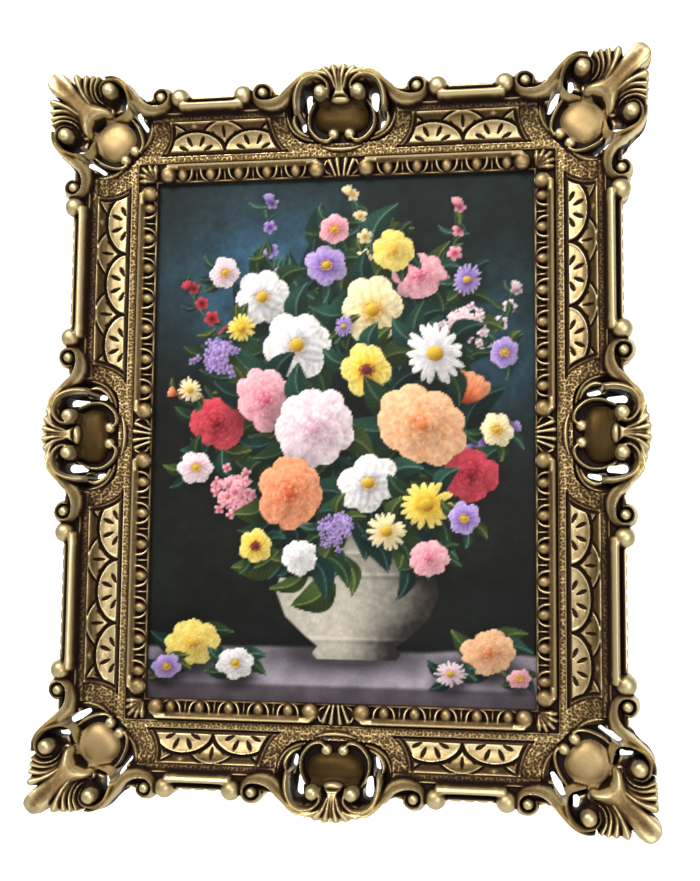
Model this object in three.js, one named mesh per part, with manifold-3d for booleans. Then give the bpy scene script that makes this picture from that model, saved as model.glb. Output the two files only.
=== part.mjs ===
// Framed flower painting in a pierced, swept baroque frame, made to hang on a wall.
// Millimetres, +Z up, the picture faces -Y and the wall is at +Y.
// Shapes are drawn flat, with x across, y up and z as the height above the back, and turned
// upright at the end.

import * as THREE from 'three';
import { mergeVertices } from 'three/addons/utils/BufferGeometryUtils.js';
import Module from 'manifold-3d';

const wasm = await Module();
wasm.setup();

// ---- driving sizes ----
const SIGHT_HALF_WIDTH = 146.3;
const SIGHT_HALF_HEIGHT = 199.5;
const PICTURE_WIDTH = 305;
const PICTURE_HEIGHT = 406;
const PICTURE_THICK = 5.5;
const BOARD_THICK = 3.5;
const CLEARANCE = 0.3;

// Heights above the flat back.
const RABBET_DEPTH = 10.8;
const LIP_HEIGHT = 15;
const GROUND_HEIGHT = 13;
const BAR_HEIGHT = 36;
const SCROLL_HEIGHT = 38;
const SHELL_HEIGHT = 40;
const LEAF_HEIGHT = 42;

// Distances out from the sight edge.
const EGG_LINE = 5;
const ROD_LINE = 11.6;
const PANEL_INNER = 24;
const PANEL_OUTER = 45.5;
const BAR_LINE = 57;
const BALL_LINE = 61.7;
const EDGE_LINE = 63.8;

// Places along a rail, from its middle, or back from the sight corner.
const ROD_MIDDLE_END = 19.3;
const ROD_CORNER_END = 9;
const BAR_MIDDLE_END = 74.8;
const BAR_CORNER_END = 21.5;
const VOLUTE_MIDDLE = 59.1;
const VOLUTE_CORNER = 6.8;

// The toothed steel hanger, let in flush, and how far out from the sight edge it lies.
const HANGER_WIDTH = 46;
const HANGER_DROP = 12;
const HANGER_THICK = 1;
const HANGER_TEETH = 9;
const HANGER_LINE = 36;

// Flat tabs that hold the board, let in flush.
const TAB_WIDTH = 22;
const TAB_LENGTH = 15;
const TAB_THICK = 0.9;
const TAB_HOLD = 6;

const BOSS = 38;

// Triangles that the large carving, and then the whole frame, are thinned to.
const CARVING_TRIANGLES = 8800;
const FRAME_TRIANGLES = 10000;

// ---- rails: the top rail is drawn as (along, out) and mapped to the other rails ----
const rails = {
  top: { reach: SIGHT_HALF_WIDTH, eggs: 5, fans: 2 },
  side: { reach: SIGHT_HALF_HEIGHT, eggs: 7, fans: 3 },
};

function closed(geometry) {
  geometry.deleteAttribute('normal');
  geometry.deleteAttribute('uv');
  return mergeVertices(geometry, 1e-4);
}

function movedBy(geometry, matrix) {
  const moved = geometry.clone().applyMatrix4(matrix);
  if (matrix.determinant() < 0) {
    const index = moved.index.array;
    for (let i = 0; i < index.length; i += 3) {
      [index[i], index[i + 1]] = [index[i + 1], index[i]];
    }
  }
  return moved;
}

// (along, out) on a rail to (x, y) in the upper right quarter.
function onRail(name) {
  if (name === 'top') {
    return new THREE.Matrix4().makeTranslation(0, SIGHT_HALF_HEIGHT, 0);
  }
  return new THREE.Matrix4().set(0, 1, 0, SIGHT_HALF_WIDTH, 1, 0, 0, 0, 0, 0, 1, 0, 0, 0, 0, 1);
}

// The corner is drawn from the sight corner, and is the same either side of its diagonal.
function onCorner(flip) {
  const [x, y] = [SIGHT_HALF_WIDTH, SIGHT_HALF_HEIGHT];
  if (flip) return new THREE.Matrix4().set(0, 1, 0, x, 1, 0, 0, y, 0, 0, 1, 0, 0, 0, 0, 1);
  return new THREE.Matrix4().makeTranslation(x, y, 0);
}

const QUARTERS = [[1, 1], [-1, 1], [-1, -1], [1, -1]];

function inFourQuarters(pieces) {
  return QUARTERS.flatMap(([sx, sy]) => {
    const mirror = new THREE.Matrix4().makeScale(sx, sy, 1);
    return pieces.map((piece) => movedBy(piece, mirror));
  });
}

// ---- joining and cutting ----
function toSolid(geometry) {
  const positions = geometry.attributes.position.array;
  const mesh = new wasm.Mesh({
    numProp: 3,
    vertProperties: new Float32Array(positions),
    triVerts: new Uint32Array(geometry.index.array),
  });
  return new wasm.Manifold(mesh);
}

function joined(solids) {
  let row = solids;
  while (row.length > 1) {
    const next = [];
    for (let i = 0; i < row.length; i += 2) {
      next.push(i + 1 < row.length ? row[i].add(row[i + 1]) : row[i]);
    }
    row = next;
  }
  return row[0];
}

function toGeometry(solid) {
  const mesh = solid.getMesh();
  const geometry = new THREE.BufferGeometry();
  geometry.setAttribute('position', new THREE.BufferAttribute(mesh.vertProperties, 3));
  geometry.setIndex(new THREE.BufferAttribute(mesh.triVerts, 1));
  return geometry;
}

// ---- thinning: edges collapse, the least missed first, down to a number of triangles ----
function planeOf(p, a, b, c) {
  const [ux, uy, uz] = [0, 1, 2].map((k) => p[3 * b + k] - p[3 * a + k]);
  const [vx, vy, vz] = [0, 1, 2].map((k) => p[3 * c + k] - p[3 * a + k]);
  const normal = new THREE.Vector3(uy * vz - uz * vy, uz * vx - ux * vz, ux * vy - uy * vx);
  const area = normal.length();
  normal.divideScalar(area || 1);
  return { normal, area, offset: -(normal.x * p[3 * a] + normal.y * p[3 * a + 1] + normal.z * p[3 * a + 2]) };
}

function thinned(geometry, triangles) {
  const p = Float64Array.from(geometry.attributes.position.array);
  const faces = [];
  const around = Array.from({ length: p.length / 3 }, () => new Set());
  const quadrics = new Float64Array((p.length / 3) * 10);
  for (let i = 0; i < geometry.index.count; i += 3) {
    const corners = [0, 1, 2].map((k) => geometry.index.array[i + k]);
    const { normal: n, area, offset: d } = planeOf(p, ...corners);
    const weight = Math.min(1, area);
    const terms = [n.x * n.x, n.x * n.y, n.x * n.z, n.x * d, n.y * n.y, n.y * n.z, n.y * d, n.z * n.z, n.z * d, d * d];
    for (const corner of corners) {
      around[corner].add(faces.length);
      terms.forEach((term, k) => { quadrics[10 * corner + k] += weight * term; });
    }
    faces.push(corners);
  }
  const version = new Int32Array(p.length / 3);
  const spot = (a, b, t) => [0, 1, 2].map((k) => p[3 * a + k] * (1 - t) + p[3 * b + k] * t);
  const errorAt = (a, b, [x, y, z]) => {
    const q = Array.from({ length: 10 }, (_, k) => quadrics[10 * a + k] + quadrics[10 * b + k]);
    return q[0] * x * x + 2 * q[1] * x * y + 2 * q[2] * x * z + 2 * q[3] * x + q[4] * y * y
      + 2 * q[5] * y * z + 2 * q[6] * y + q[7] * z * z + 2 * q[8] * z + q[9];
  };
  const heap = [];
  const sift = (item) => {
    let i = heap.push(item) - 1;
    while (i > 0 && heap[(i - 1) >> 1].cost > item.cost) {
      heap[i] = heap[(i - 1) >> 1];
      i = (i - 1) >> 1;
    }
    heap[i] = item;
  };
  const pop = () => {
    const [first, item] = [heap[0], heap.pop()];
    if (!heap.length) return first;
    let i = 0;
    for (let child = 1; child < heap.length; child = 2 * i + 1) {
      if (child + 1 < heap.length && heap[child + 1].cost < heap[child].cost) child += 1;
      if (heap[child].cost >= item.cost) break;
      heap[i] = heap[child];
      i = child;
    }
    heap[i] = item;
    return first;
  };
  const weigh = (a, b) => {
    let best = { cost: Infinity };
    for (const t of [0, 0.5, 1]) {
      const place = spot(a, b, t);
      const cost = errorAt(a, b, place) + 1e-9 * t;
      if (cost < best.cost) best = { cost, place };
    }
    sift({ a, b, ...best, at: version[a] + version[b] });
  };
  const neighbours = (v) => new Set([...around[v]].flatMap((f) => faces[f]).filter((w) => w !== v));
  const keepsFacing = (v, other, place) => [...around[v]].every((f) => {
    if (faces[f].includes(other)) return true;
    const before = planeOf(p, ...faces[f]);
    const kept = [p[3 * v], p[3 * v + 1], p[3 * v + 2]];
    p.set(place, 3 * v);
    const after = planeOf(p, ...faces[f]);
    p.set(kept, 3 * v);
    return after.area > 0.02 && (before.area < 0.02 || before.normal.dot(after.normal) > 0.5);
  });
  for (const [a, b, c] of faces) {
    if (a < b) weigh(a, b);
    if (b < c) weigh(b, c);
    if (c < a) weigh(c, a);
  }
  let left = faces.length;
  while (heap.length && left > triangles) {
    const { a, b, place, at } = pop();
    if (at !== version[a] + version[b] || !around[a].size || !around[b].size) continue;
    const near = neighbours(a);
    if (!near.has(b)) continue;
    const shared = [...neighbours(b)].filter((w) => near.has(w));
    if (shared.length !== 2 || !keepsFacing(a, b, place) || !keepsFacing(b, a, place)) continue;
    p.set(place, 3 * a);
    for (let k = 0; k < 10; k += 1) quadrics[10 * a + k] += quadrics[10 * b + k];
    for (const f of around[b]) {
      if (faces[f].includes(a)) {
        for (const w of faces[f]) around[w].delete(f);
        faces[f] = null;
        left -= 1;
      } else {
        faces[f] = faces[f].map((w) => (w === b ? a : w));
        around[a].add(f);
      }
    }
    around[b].clear();
    version[a] += 1;
    version[b] += 1;
    for (const w of neighbours(a)) weigh(a, w);
  }
  const result = new THREE.BufferGeometry();
  result.setAttribute('position', new THREE.Float32BufferAttribute(p, 3));
  result.setIndex(faces.filter(Boolean).flat());
  return result;
}

// ---- shapes ----
function smooth(points, steps) {
  return new THREE.SplineCurve(points.map(([x, y]) => new THREE.Vector2(x, y))).getPoints(steps);
}

function plate(points, bottom, top) {
  const shape = new THREE.Shape(points.map((p) => (p.isVector2 ? p : new THREE.Vector2(...p))));
  const geometry = new THREE.ExtrudeGeometry(shape, { depth: top - bottom, bevelEnabled: false });
  geometry.translate(0, 0, bottom);
  return closed(geometry);
}

// A solid through rings of equal count, closed by a fan at each end.
function loft(rings) {
  const count = rings[0].length;
  const vertices = rings.flat();
  const index = [];
  for (let r = 0; r + 1 < rings.length; r += 1) {
    for (let k = 0; k < count; k += 1) {
      const a = r * count + k;
      const b = r * count + ((k + 1) % count);
      index.push(a, b, a + count, b, b + count, a + count);
    }
  }
  const last = (rings.length - 1) * count;
  for (let k = 1; k + 1 < count; k += 1) {
    index.push(0, k + 1, k);
    index.push(last, last + k, last + k + 1);
  }
  const geometry = new THREE.BufferGeometry();
  geometry.setAttribute('position', new THREE.Float32BufferAttribute(vertices.flat(), 3));
  geometry.setIndex(index);
  return geometry;
}

// A rounded band along a curve. half, top and bottom are numbers or functions of 0..1 along it.
function band(points, { half, top, bottom }) {
  const at = (value, t) => (typeof value === 'function' ? value(t) : value);
  const rings = points.map((point, i) => {
    const before = points[Math.max(i - 1, 0)];
    const after = points[Math.min(i + 1, points.length - 1)];
    const along = after.clone().sub(before).normalize();
    const t = i / (points.length - 1);
    const [w, high, low] = [at(half, t), at(top, t), at(bottom, t)];
    const across = (side, z) => [point.x - along.y * side, point.y + along.x * side, z];
    const drop = Math.min(0.75 * w, high - low - 0.5);
    return [
      across(-w, low),
      across(w, low),
      across(w, high - drop),
      across(0.45 * w, high),
      across(-0.45 * w, high),
      across(-w, high - drop),
    ];
  });
  return loft(rings);
}

function ball(x, y, height, radius, { around = 8, rows = 5, stretch = 1, deep = 1 } = {}) {
  const geometry = closed(new THREE.SphereGeometry(radius, around, rows));
  geometry.rotateX(Math.PI / 2);
  geometry.scale(stretch, 1, deep);
  geometry.translate(x, y, height);
  return geometry;
}

// ---- the plain moulding that runs round ----
function mouldingRing(profile) {
  const vertices = [];
  const index = [];
  const count = profile.length;
  for (const [sx, sy] of QUARTERS) {
    for (const [out, height] of profile) {
      vertices.push(sx * (SIGHT_HALF_WIDTH + out), sy * (SIGHT_HALF_HEIGHT + out), height);
    }
  }
  for (let c = 0; c < 4; c += 1) {
    for (let k = 0; k < count; k += 1) {
      const a = c * count + k;
      const b = c * count + ((k + 1) % count);
      const d = ((c + 1) % 4) * count + k;
      const e = ((c + 1) % 4) * count + ((k + 1) % count);
      index.push(a, b, d, b, e, d);
    }
  }
  const geometry = new THREE.BufferGeometry();
  geometry.setAttribute('position', new THREE.Float32BufferAttribute(vertices, 3));
  geometry.setIndex(index);
  return geometry;
}

function baseMoulding() {
  return mouldingRing([
    [0, RABBET_DEPTH],
    [0, LIP_HEIGHT],
    [1.5, LIP_HEIGHT],
    [2.3, GROUND_HEIGHT],
    [8.5, 15.5],
    [14.8, 15.5],
    [15.3, GROUND_HEIGHT],
    [16.3, LIP_HEIGHT],
    [21.5, LIP_HEIGHT],
    [22.3, 12.5],
    [PANEL_INNER, 12.8],
    [32, 14.2],
    [38.5, 17],
    [43, 21],
    [PANEL_OUTER, 26],
    [50.5, 27],
    [51.5, 30],
    [60, 30],
    [EDGE_LINE - 1, 28],
    [EDGE_LINE - 1, 25],
    [54, 12],
    [48, 0],
    [0, 0],
  ]);
}

function scallopedEdge(from, to) {
  const count = Math.round((to - from) / 10);
  const pitch = (to - from) / count;
  const points = [[from, BAR_LINE]];
  for (let i = 0; i < count; i += 1) {
    const start = from + i * pitch;
    points.push([start, EDGE_LINE - 1.2], [start + 0.25 * pitch, EDGE_LINE], [start + 0.75 * pitch, EDGE_LINE]);
  }
  points.push([to, EDGE_LINE - 1.2], [to, BAR_LINE]);
  return plate(points.reverse(), 25, 28.5);
}

// What the outer half of the frame is hollowed by from behind, so that it flares off the wall.
function backFlare() {
  return mouldingRing([[50, -1], [50, 0], [54.5, 8], [110, 8], [110, -1]]);
}

// ---- egg-and-dart band with its closing rod ----
function dome(x, y, across, deep, foot, shoulder, crown) {
  const ring = (size, z) => Array.from({ length: 6 }, (_, k) => {
    const angle = ((k + 0.5) * Math.PI) / 3;
    return [x + size * across * Math.cos(angle), y + size * deep * Math.sin(angle), z];
  });
  return loft([ring(1, foot), ring(0.9, shoulder), ring(0.4, crown)]);
}

function eggBand(reach, count) {
  const first = 35.8;
  const last = reach - 20.2;
  const eggs = [];
  for (let i = 0; i < count; i += 1) {
    const along = first + ((last - first) * i) / (count - 1);
    eggs.push(dome(along, EGG_LINE + 0.4, 4.6, 4.2, 11.5, 16, 19));
  }
  return eggs;
}

function rod(reach) {
  const ends = [new THREE.Vector2(ROD_MIDDLE_END, ROD_LINE), new THREE.Vector2(reach - ROD_CORNER_END, ROD_LINE)];
  return [
    band(ends, { half: 3, top: 21, bottom: 12 }),
    ball(ROD_MIDDLE_END, EGG_LINE + 1, 15, 6.3, { deep: 1.1 }),
    ball(reach - ROD_CORNER_END, EGG_LINE + 1, 15, 6.3, { deep: 1.1 }),
  ];
}

// A small palmette of three petals, opening along the direction given by its last two sizes.
function palmette(x, y, length, lean) {
  return [-1, 0, 1].map((side) => {
    const angle = lean + side * 0.42;
    const at = (reach) => new THREE.Vector2(x + reach * Math.cos(angle), y + reach * Math.sin(angle));
    return band([at(0), at(0.6 * length), at(length)], {
      half: (t) => 0.9 + 1.5 * Math.sin(Math.PI * (0.15 + 0.6 * t)),
      top: (t) => 17.5 + 1.5 * t,
      bottom: 11.5,
    });
  });
}

// ---- cove panel with half-round fans ----
function fanPanel(reach, count) {
  const from = 47;
  const to = reach - 7.3;
  const half = (to - from) / count / 2;
  const steps = 8;
  return Array.from({ length: count }, (_, i) => {
    const centre = from + half * (2 * i + 1);
    const points = [];
    for (let k = 0; k <= steps; k += 1) {
      const angle = (Math.PI * k) / steps;
      points.push([centre + (half - 0.6) * Math.cos(angle), PANEL_INNER + 0.4 + 14.4 * Math.sin(angle)]);
    }
    return plate(points, 10, 18.2);
  });
}

// ---- outer bar with ball ends, and the small volutes beside it ----
function outerBar(reach) {
  const [near, far] = [BAR_MIDDLE_END, reach - BAR_CORNER_END];
  const path = smooth([[near, BALL_LINE], [near + 3, BAR_LINE], [far - 3, BAR_LINE], [far, BALL_LINE]], 4);
  path[1].set(near + 4, BAR_LINE);
  path[2].set((near + far) / 2, BAR_LINE);
  path[3].set(far - 4, BAR_LINE);
  return [
    band(path, { half: 4.2, top: BAR_HEIGHT, bottom: 26 }),
    ball(near, BALL_LINE, 30, 7.6),
    ball(far, BALL_LINE, 30, 7.6),
    scallopedEdge(near, far),
  ];
}

// The S-scroll: a small volute, a dip, and the rise to the big scroll. turn is 1 or -1 along the rail.
function sScroll(x, y, turn) {
  const route = [[5, 0], [3.5, 5], [-1.5, 6], [-6, 2], [-6, -4], [-1, -8], [8, -8.5], [15, -5], [20.5, 1], [26, 8]];
  const path = smooth(route.map(([a, b]) => [x + turn * a, y + b]), 16);
  if (turn < 0) path.reverse();
  return [
    band(path, { half: 3.2, top: SCROLL_HEIGHT - 1, bottom: 20 }),
    ball(x, y, 32, 4.2, { around: 6, rows: 4 }),
  ];
}

// ---- corner ornament, drawn from the sight corner and mirrored in its diagonal ----
function diagonal(u, v) {
  return [BOSS + (u - v) * Math.SQRT1_2, BOSS + (u + v) * Math.SQRT1_2];
}

function cornerScroll() {
  const route = [
    [42.8, 66.4], [43.4, 72], [39.4, 77], [31.4, 78.4], [24.2, 75.2], [19.6, 68.2], [18, 61], [19.4, 55.6],
    [24.4, 52.2], [33.4, 51.8],
  ];
  return [
    band(smooth(route, 13).reverse(), { half: 3.3, top: (t) => 29 + 10 * Math.min(1, 2.2 * t), bottom: 10 }),
    ball(35.2, 70.2, 31, 6.2),
  ];
}

function cornerFlutes() {
  const flutes = [
    { half: 3.8, route: [[60.6, 81], [58.4, 73], [55.4, 66.2], [51.6, 60.4], [46.6, 55.4]] },
    { half: 2.9, route: [[53, 81.4], [54.2, 72.6], [52.6, 65.2], [48.8, 59.4], [41.4, 54]] },
    { half: 2.2, route: [[47.4, 81.2], [50, 73], [49.4, 65.6], [46, 60.2], [39, 57.6]] },
    { half: 1.8, route: [[43, 80.8], [46.6, 74.6], [46.8, 68], [44.4, 63.4], [40.6, 60.4]] },
  ];
  return flutes.map(({ half, route }) => band(smooth(route, 5).reverse(), {
    half: (t) => half * (0.6 + 0.4 * t),
    top: (t) => 27 + 11 * t,
    bottom: (t) => 10 + 14 * t * t,
  }));
}

function cornerLeaf() {
  const stations = [
    [11, 12, 24], [15, 10.4, 27], [20, 8.4, 29.5], [28, 5.8, 33.5], [38, 6.6, 38], [47, 8.4, 41],
    [53.4, 8.9, LEAF_HEIGHT], [59.8, 6.3, LEAF_HEIGHT], [62.4, 2.2, 41.6],
  ];
  const rings = stations.map(([u, w, high]) => {
    const low = 10 + 0.9 * Math.max(0, high - 27);
    const at = (v, z) => [...diagonal(u, v), z];
    return [at(-w, low), at(w, low), at(w, high - 3), at(0.4 * w, high), at(-0.4 * w, high), at(-w, high - 3)];
  });
  return loft(rings);
}

function cornerArc() {
  const route = [[5.4, 19], [-2, 21], [-10, 20.3], [-18.4, 16.9], [-23.8, 12.2], [-25.2, 8]];
  const [bx, by] = diagonal(-21.6, 5.3);
  return [
    band(smooth(route.map(([u, v]) => diagonal(u, v)), 8), { half: 1.9, top: 19.5, bottom: 8 }),
    ball(bx, by, 15.5, 4.3, { around: 7, rows: 4 }),
  ];
}

function cornerFrond() {
  const route = [[2, 35.6], [-9, 33.6], [-17, 28.4], [-22, 21], [-24.2, 13.4], [-25.4, 6]];
  return band(smooth(route.map(([u, v]) => diagonal(u, v)), 6), {
    half: (t) => 3.2 - 1.8 * t,
    top: (t) => 22 - 5 * t,
    bottom: 8,
  });
}

const CORNER_RIM = [[-4, 38.4], [-11.8, 36], [-18.6, 31.4], [-23.6, 23.5], [-25.8, 15.8], [-26.6, 8]];

function cornerWell() {
  const half = CORNER_RIM.map(([u, v]) => diagonal(u, v));
  const other = CORNER_RIM.map(([u, v]) => diagonal(u, -v)).reverse();
  return plate([diagonal(90, -44), diagonal(90, 44), diagonal(6, 44), ...half, ...other, diagonal(6, -44)], -1, 60);
}

function cornerPlate() {
  const half = [[22, 34], [8, 38], [-4, 37.5], ...CORNER_RIM.slice(1)];
  const points = half.map(([u, v]) => diagonal(u, v));
  const others = half.map(([u, v]) => diagonal(u, -v)).reverse();
  return plate([diagonal(30, -16), diagonal(30, 16), ...points, ...others], 0, GROUND_HEIGHT - 1);
}

function cornerHoles() {
  const crescent = smooth([[-14, 23.6], [-7, 26], [0, 27.6]].map(([u, v]) => diagonal(u, v)), 4);
  const small = smooth([[27.6, 52.6], [28, 59]], 1);
  const cut = { top: 60, bottom: -1 };
  return [
    band(crescent, { half: 2.6, ...cut }),
    band(small, { half: 2.6, ...cut }),
  ];
}

function cornerBoss() {
  const [x, y] = diagonal(-1.4, 0);
  return ball(x, y, 11, 17.4, { around: 14, rows: 6, deep: 0.42 });
}

// ---- middle ornament, half of it, drawn as (along, out) ----
const MIDDLE_RIM = [[38.6, 62], [42.4, 52], [42.4, 43], [38.2, 34.4], [31, 29], [22.4, 27.4], [0, 27.2]];

function middleWell() {
  const other = MIDDLE_RIM.slice(0, -1).map(([a, s]) => [-a, s]).reverse();
  const mine = MIDDLE_RIM.slice(0, -1).reverse();
  return plate([[-38.6, 95], ...other.reverse(), ...mine, [38.6, 95]], -1, 60);
}

function middlePlate() {
  const half = [[30, 66], ...MIDDLE_RIM.slice(0, -1)];
  const other = half.map(([a, s]) => [-a, s]).reverse();
  return plate([...half, ...other], 0, GROUND_HEIGHT - 1);
}

function middleScroll() {
  const route = [
    [9.2, 58.6], [8.9, 66.8], [15, 72.4], [23.6, 72.8], [29.6, 68.6], [33.6, 61.4], [35.6, 51], [35.6, 41.6],
  ];
  return [
    band(smooth(route, 12), { half: 2.9, top: (t) => SCROLL_HEIGHT - 16 * Math.max(0, t - 0.5), bottom: 10 }),
    ball(14.4, 61.3, 31, 5.6, { around: 8, rows: 4 }),
  ];
}

function middleWing() {
  const route = [[5, 66], [10, 74], [17, 77.4], [24.4, 76], [30.6, 71.8], [36, 66]];
  return band(smooth(route, 7), { half: 3.4, top: (t) => 38 - 4 * t, bottom: 22 });
}

function middleShell() {
  const ribs = [];
  for (let i = -2; i <= 2; i += 1) {
    const lean = (i * 14 * Math.PI) / 180;
    const route = [58, 68, 80.6 - Math.abs(i) * 0.6].map((s) => {
      const reach = s - 50;
      return [Math.sin(lean) * reach * (s / 80), 50 + Math.cos(lean) * reach];
    });
    ribs.push(band(smooth(route, 3), {
      half: (t) => 1.8 + 1.9 * t,
      top: (t) => 33 + (SHELL_HEIGHT - 33) * t,
      bottom: (t) => 10 + 14 * t * t,
    }));
  }
  ribs.push(ball(0, 55.5, 24, 5.5, { around: 8, rows: 4, deep: 0.9 }));
  return ribs;
}

function middleArc() {
  const route = [[17.6, 60], [22.6, 54.4], [25.4, 46.4], [24.4, 37.4], [18.2, 29.8], [11.2, 27.9], [7.2, 30.4]];
  return [
    band(smooth(route, 8).reverse(), { half: 1.9, top: 19.5, bottom: 8 }),
    ball(6.2, 33.4, 15.5, 4.5, { around: 7, rows: 4 }),
  ];
}

function middleFrond() {
  const route = [[37.6, 62], [40.2, 52.6], [39.6, 43.6], [35.6, 36.2], [28.8, 31.6], [22, 29.4]];
  return band(smooth(route, 6), { half: (t) => 3.2 - 1.8 * t, top: (t) => 24 - 7 * t, bottom: 8 });
}

function middleBoss() {
  return ball(0, 48.2, 11, 10.8, { around: 14, rows: 6, stretch: 1.88, deep: 0.86 });
}

function middleHoles() {
  const cut = { top: 60, bottom: -1 };
  return [
    band(smooth([[23.5, 56.5], [23.8, 63]], 1), { half: 3, ...cut }),
    band(smooth([[31.2, 40.5], [31.8, 46.5]], 1), { half: 2.6, ...cut }),
  ];
}

// ---- the frame, joined from its ornament ----
function railPieces(name) {
  const { reach, fans } = rails[name];
  const pieces = [
    ...rod(reach),
    ...fanPanel(reach, fans),
    ...outerBar(reach),
    ...sScroll(VOLUTE_MIDDLE, BALL_LINE, -1),
    ...sScroll(reach - VOLUTE_CORNER, BALL_LINE, 1),
    ...middleScroll(),
    ...middleArc(),
    middleWing(),
    middleFrond(),
  ];
  return pieces.map((piece) => movedBy(piece, onRail(name)));
}

function cornerPieces() {
  const half = [...cornerScroll(), ...cornerFlutes(), ...cornerArc(), cornerFrond()];
  return [
    ...half.map((piece) => movedBy(piece, onCorner(false))),
    ...half.map((piece) => movedBy(piece, onCorner(true))),
    movedBy(cornerLeaf(), onCorner(false)),
    movedBy(cornerBoss(), onCorner(false)),
    movedBy(cornerPlate(), onCorner(false)),
  ];
}

function bothWays(name, pieces) {
  const placed = pieces.map((piece) => movedBy(piece, onRail(name)));
  const away = new THREE.Matrix4().makeScale(name === 'top' ? 1 : -1, name === 'top' ? -1 : 1, 1);
  return [...placed, ...placed.map((piece) => movedBy(piece, away))];
}

// Small ornament of the sight band: eggs, and palmettes at the corners and the middles.
function sightOrnament() {
  const quarter = ['top', 'side'].flatMap((name) => {
    const { reach, eggs } = rails[name];
    return eggBand(reach, eggs).map((piece) => movedBy(piece, onRail(name)));
  });
  quarter.push(...palmette(1, 1, 12, Math.PI / 4).map((piece) => movedBy(piece, onCorner(false))));
  const middles = ['top', 'side'].flatMap((name) => bothWays(name, palmette(0, 1.5, 12.5, Math.PI / 2)));
  return [...inFourQuarters(quarter), ...middles];
}

function buildFrame() {
  const wells = [
    ...inFourQuarters([movedBy(cornerWell(), onCorner(false))]),
    ...bothWays('top', [middleWell()]),
    ...bothWays('side', [middleWell()]),
  ].map(toSolid);
  const middles = ['top', 'side'].flatMap((name) => bothWays(name, [
    middlePlate(), middleBoss(), ...middleShell(),
  ]));
  const quarter = [...railPieces('top'), ...railPieces('side'), ...cornerPieces()];
  const holes = inFourQuarters([
    ...['top', 'side'].flatMap((name) => middleHoles().map((hole) => movedBy(hole, onRail(name)))),
    ...cornerHoles().flatMap((hole) => [movedBy(hole, onCorner(false)), movedBy(hole, onCorner(true))]),
  ]).map(toSolid);
  const ornament = joined([...inFourQuarters(quarter), ...middles].map(toSolid));
  const base = toSolid(baseMoulding()).subtract(joined(wells));
  const carved = base.add(ornament).subtract(joined([...holes, toSolid(backFlare())]));
  const light = toSolid(thinned(toGeometry(carved), CARVING_TRIANGLES));
  const whole = light.add(joined(sightOrnament().map(toSolid)));
  const frame = toSolid(thinned(toGeometry(whole), FRAME_TRIANGLES));
  return toGeometry(frame.subtract(joined(recesses().map(toSolid))));
}

// ---- the back: rabbet, and shallow recesses for the hanger and the tabs ----
function block(x0, x1, y0, y1, bottom, top) {
  return plate([[x0, y0], [x1, y0], [x1, y1], [x0, y1]], bottom, top);
}

const RABBET_X = PICTURE_WIDTH / 2 + 1;
const RABBET_Y = PICTURE_HEIGHT / 2 + 1;
const HANGER_Y = SIGHT_HALF_HEIGHT + HANGER_LINE;

function tabBlock(name, clearance) {
  const wall = name === 'top' ? RABBET_Y - SIGHT_HALF_HEIGHT : RABBET_X - SIGHT_HALF_WIDTH;
  const half = TAB_WIDTH / 2 + clearance;
  const outer = wall + TAB_LENGTH - TAB_HOLD + clearance;
  return block(-half, half, wall - TAB_HOLD, outer, clearance ? -1 : 0, TAB_THICK + clearance);
}

function recesses() {
  const [half, drop] = [HANGER_WIDTH / 2 + CLEARANCE, HANGER_DROP / 2 + CLEARANCE];
  return [
    block(-RABBET_X, RABBET_X, -RABBET_Y, RABBET_Y, -1, RABBET_DEPTH),
    block(-half, half, HANGER_Y - drop, HANGER_Y + drop, -1, HANGER_THICK + CLEARANCE),
    block(-half + 5, half - 5, HANGER_Y - drop - 4, HANGER_Y, -1, 5),
    ...bothWays('top', [tabBlock('top', CLEARANCE)]),
    ...bothWays('side', [tabBlock('side', CLEARANCE)]),
  ];
}

// ---- loose pieces ----
function painting() {
  const top = RABBET_DEPTH - CLEARANCE;
  const [x, y] = [PICTURE_WIDTH / 2, PICTURE_HEIGHT / 2];
  return block(-x, x, -y, y, top - PICTURE_THICK, top);
}

function backingBoard() {
  const top = RABBET_DEPTH - 2 * CLEARANCE - PICTURE_THICK;
  const [x, y] = [PICTURE_WIDTH / 2 - 0.5, PICTURE_HEIGHT / 2 - 0.5];
  return block(-x, x, -y, y, top - BOARD_THICK, top);
}

function hanger() {
  const half = HANGER_WIDTH / 2;
  const low = HANGER_Y - HANGER_DROP / 2;
  const pitch = (HANGER_WIDTH - 14) / HANGER_TEETH;
  const points = [[-half, HANGER_Y + HANGER_DROP / 2], [-half, low], [-half + 7, low]];
  for (let i = 0; i < HANGER_TEETH; i += 1) {
    const start = -half + 7 + i * pitch;
    points.push([start + pitch / 2, low + 2], [start + pitch, low]);
  }
  points.push([half, low], [half, HANGER_Y + HANGER_DROP / 2]);
  return plate(points, 0, HANGER_THICK);
}

const materials = {
  gilt: new THREE.MeshStandardMaterial({ color: 0xb89a5a, roughness: 0.42, metalness: 0.55 }),
  canvas: new THREE.MeshStandardMaterial({ color: 0x4a4f52, roughness: 0.7, metalness: 0 }),
  board: new THREE.MeshStandardMaterial({ color: 0x8a6a48, roughness: 0.9, metalness: 0 }),
  steel: new THREE.MeshStandardMaterial({ color: 0xb0aea6, roughness: 0.4, metalness: 1 }),
};

const part = new THREE.Group();

function addPiece(name, geometry, material) {
  const mesh = new THREE.Mesh(geometry, material);
  mesh.name = name;
  part.add(mesh);
}

addPiece('frame', buildFrame(), materials.gilt);
addPiece('painting', painting(), materials.canvas);
addPiece('backing_board', backingBoard(), materials.board);
addPiece('hanger', hanger(), materials.steel);
const tabs = [...bothWays('top', [tabBlock('top', 0)]), ...bothWays('side', [tabBlock('side', 0)])];
['top', 'bottom', 'right', 'left'].forEach((rail, i) => {
  addPiece(`retaining_tab_${rail}`, tabs[i], materials.steel);
});

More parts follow.
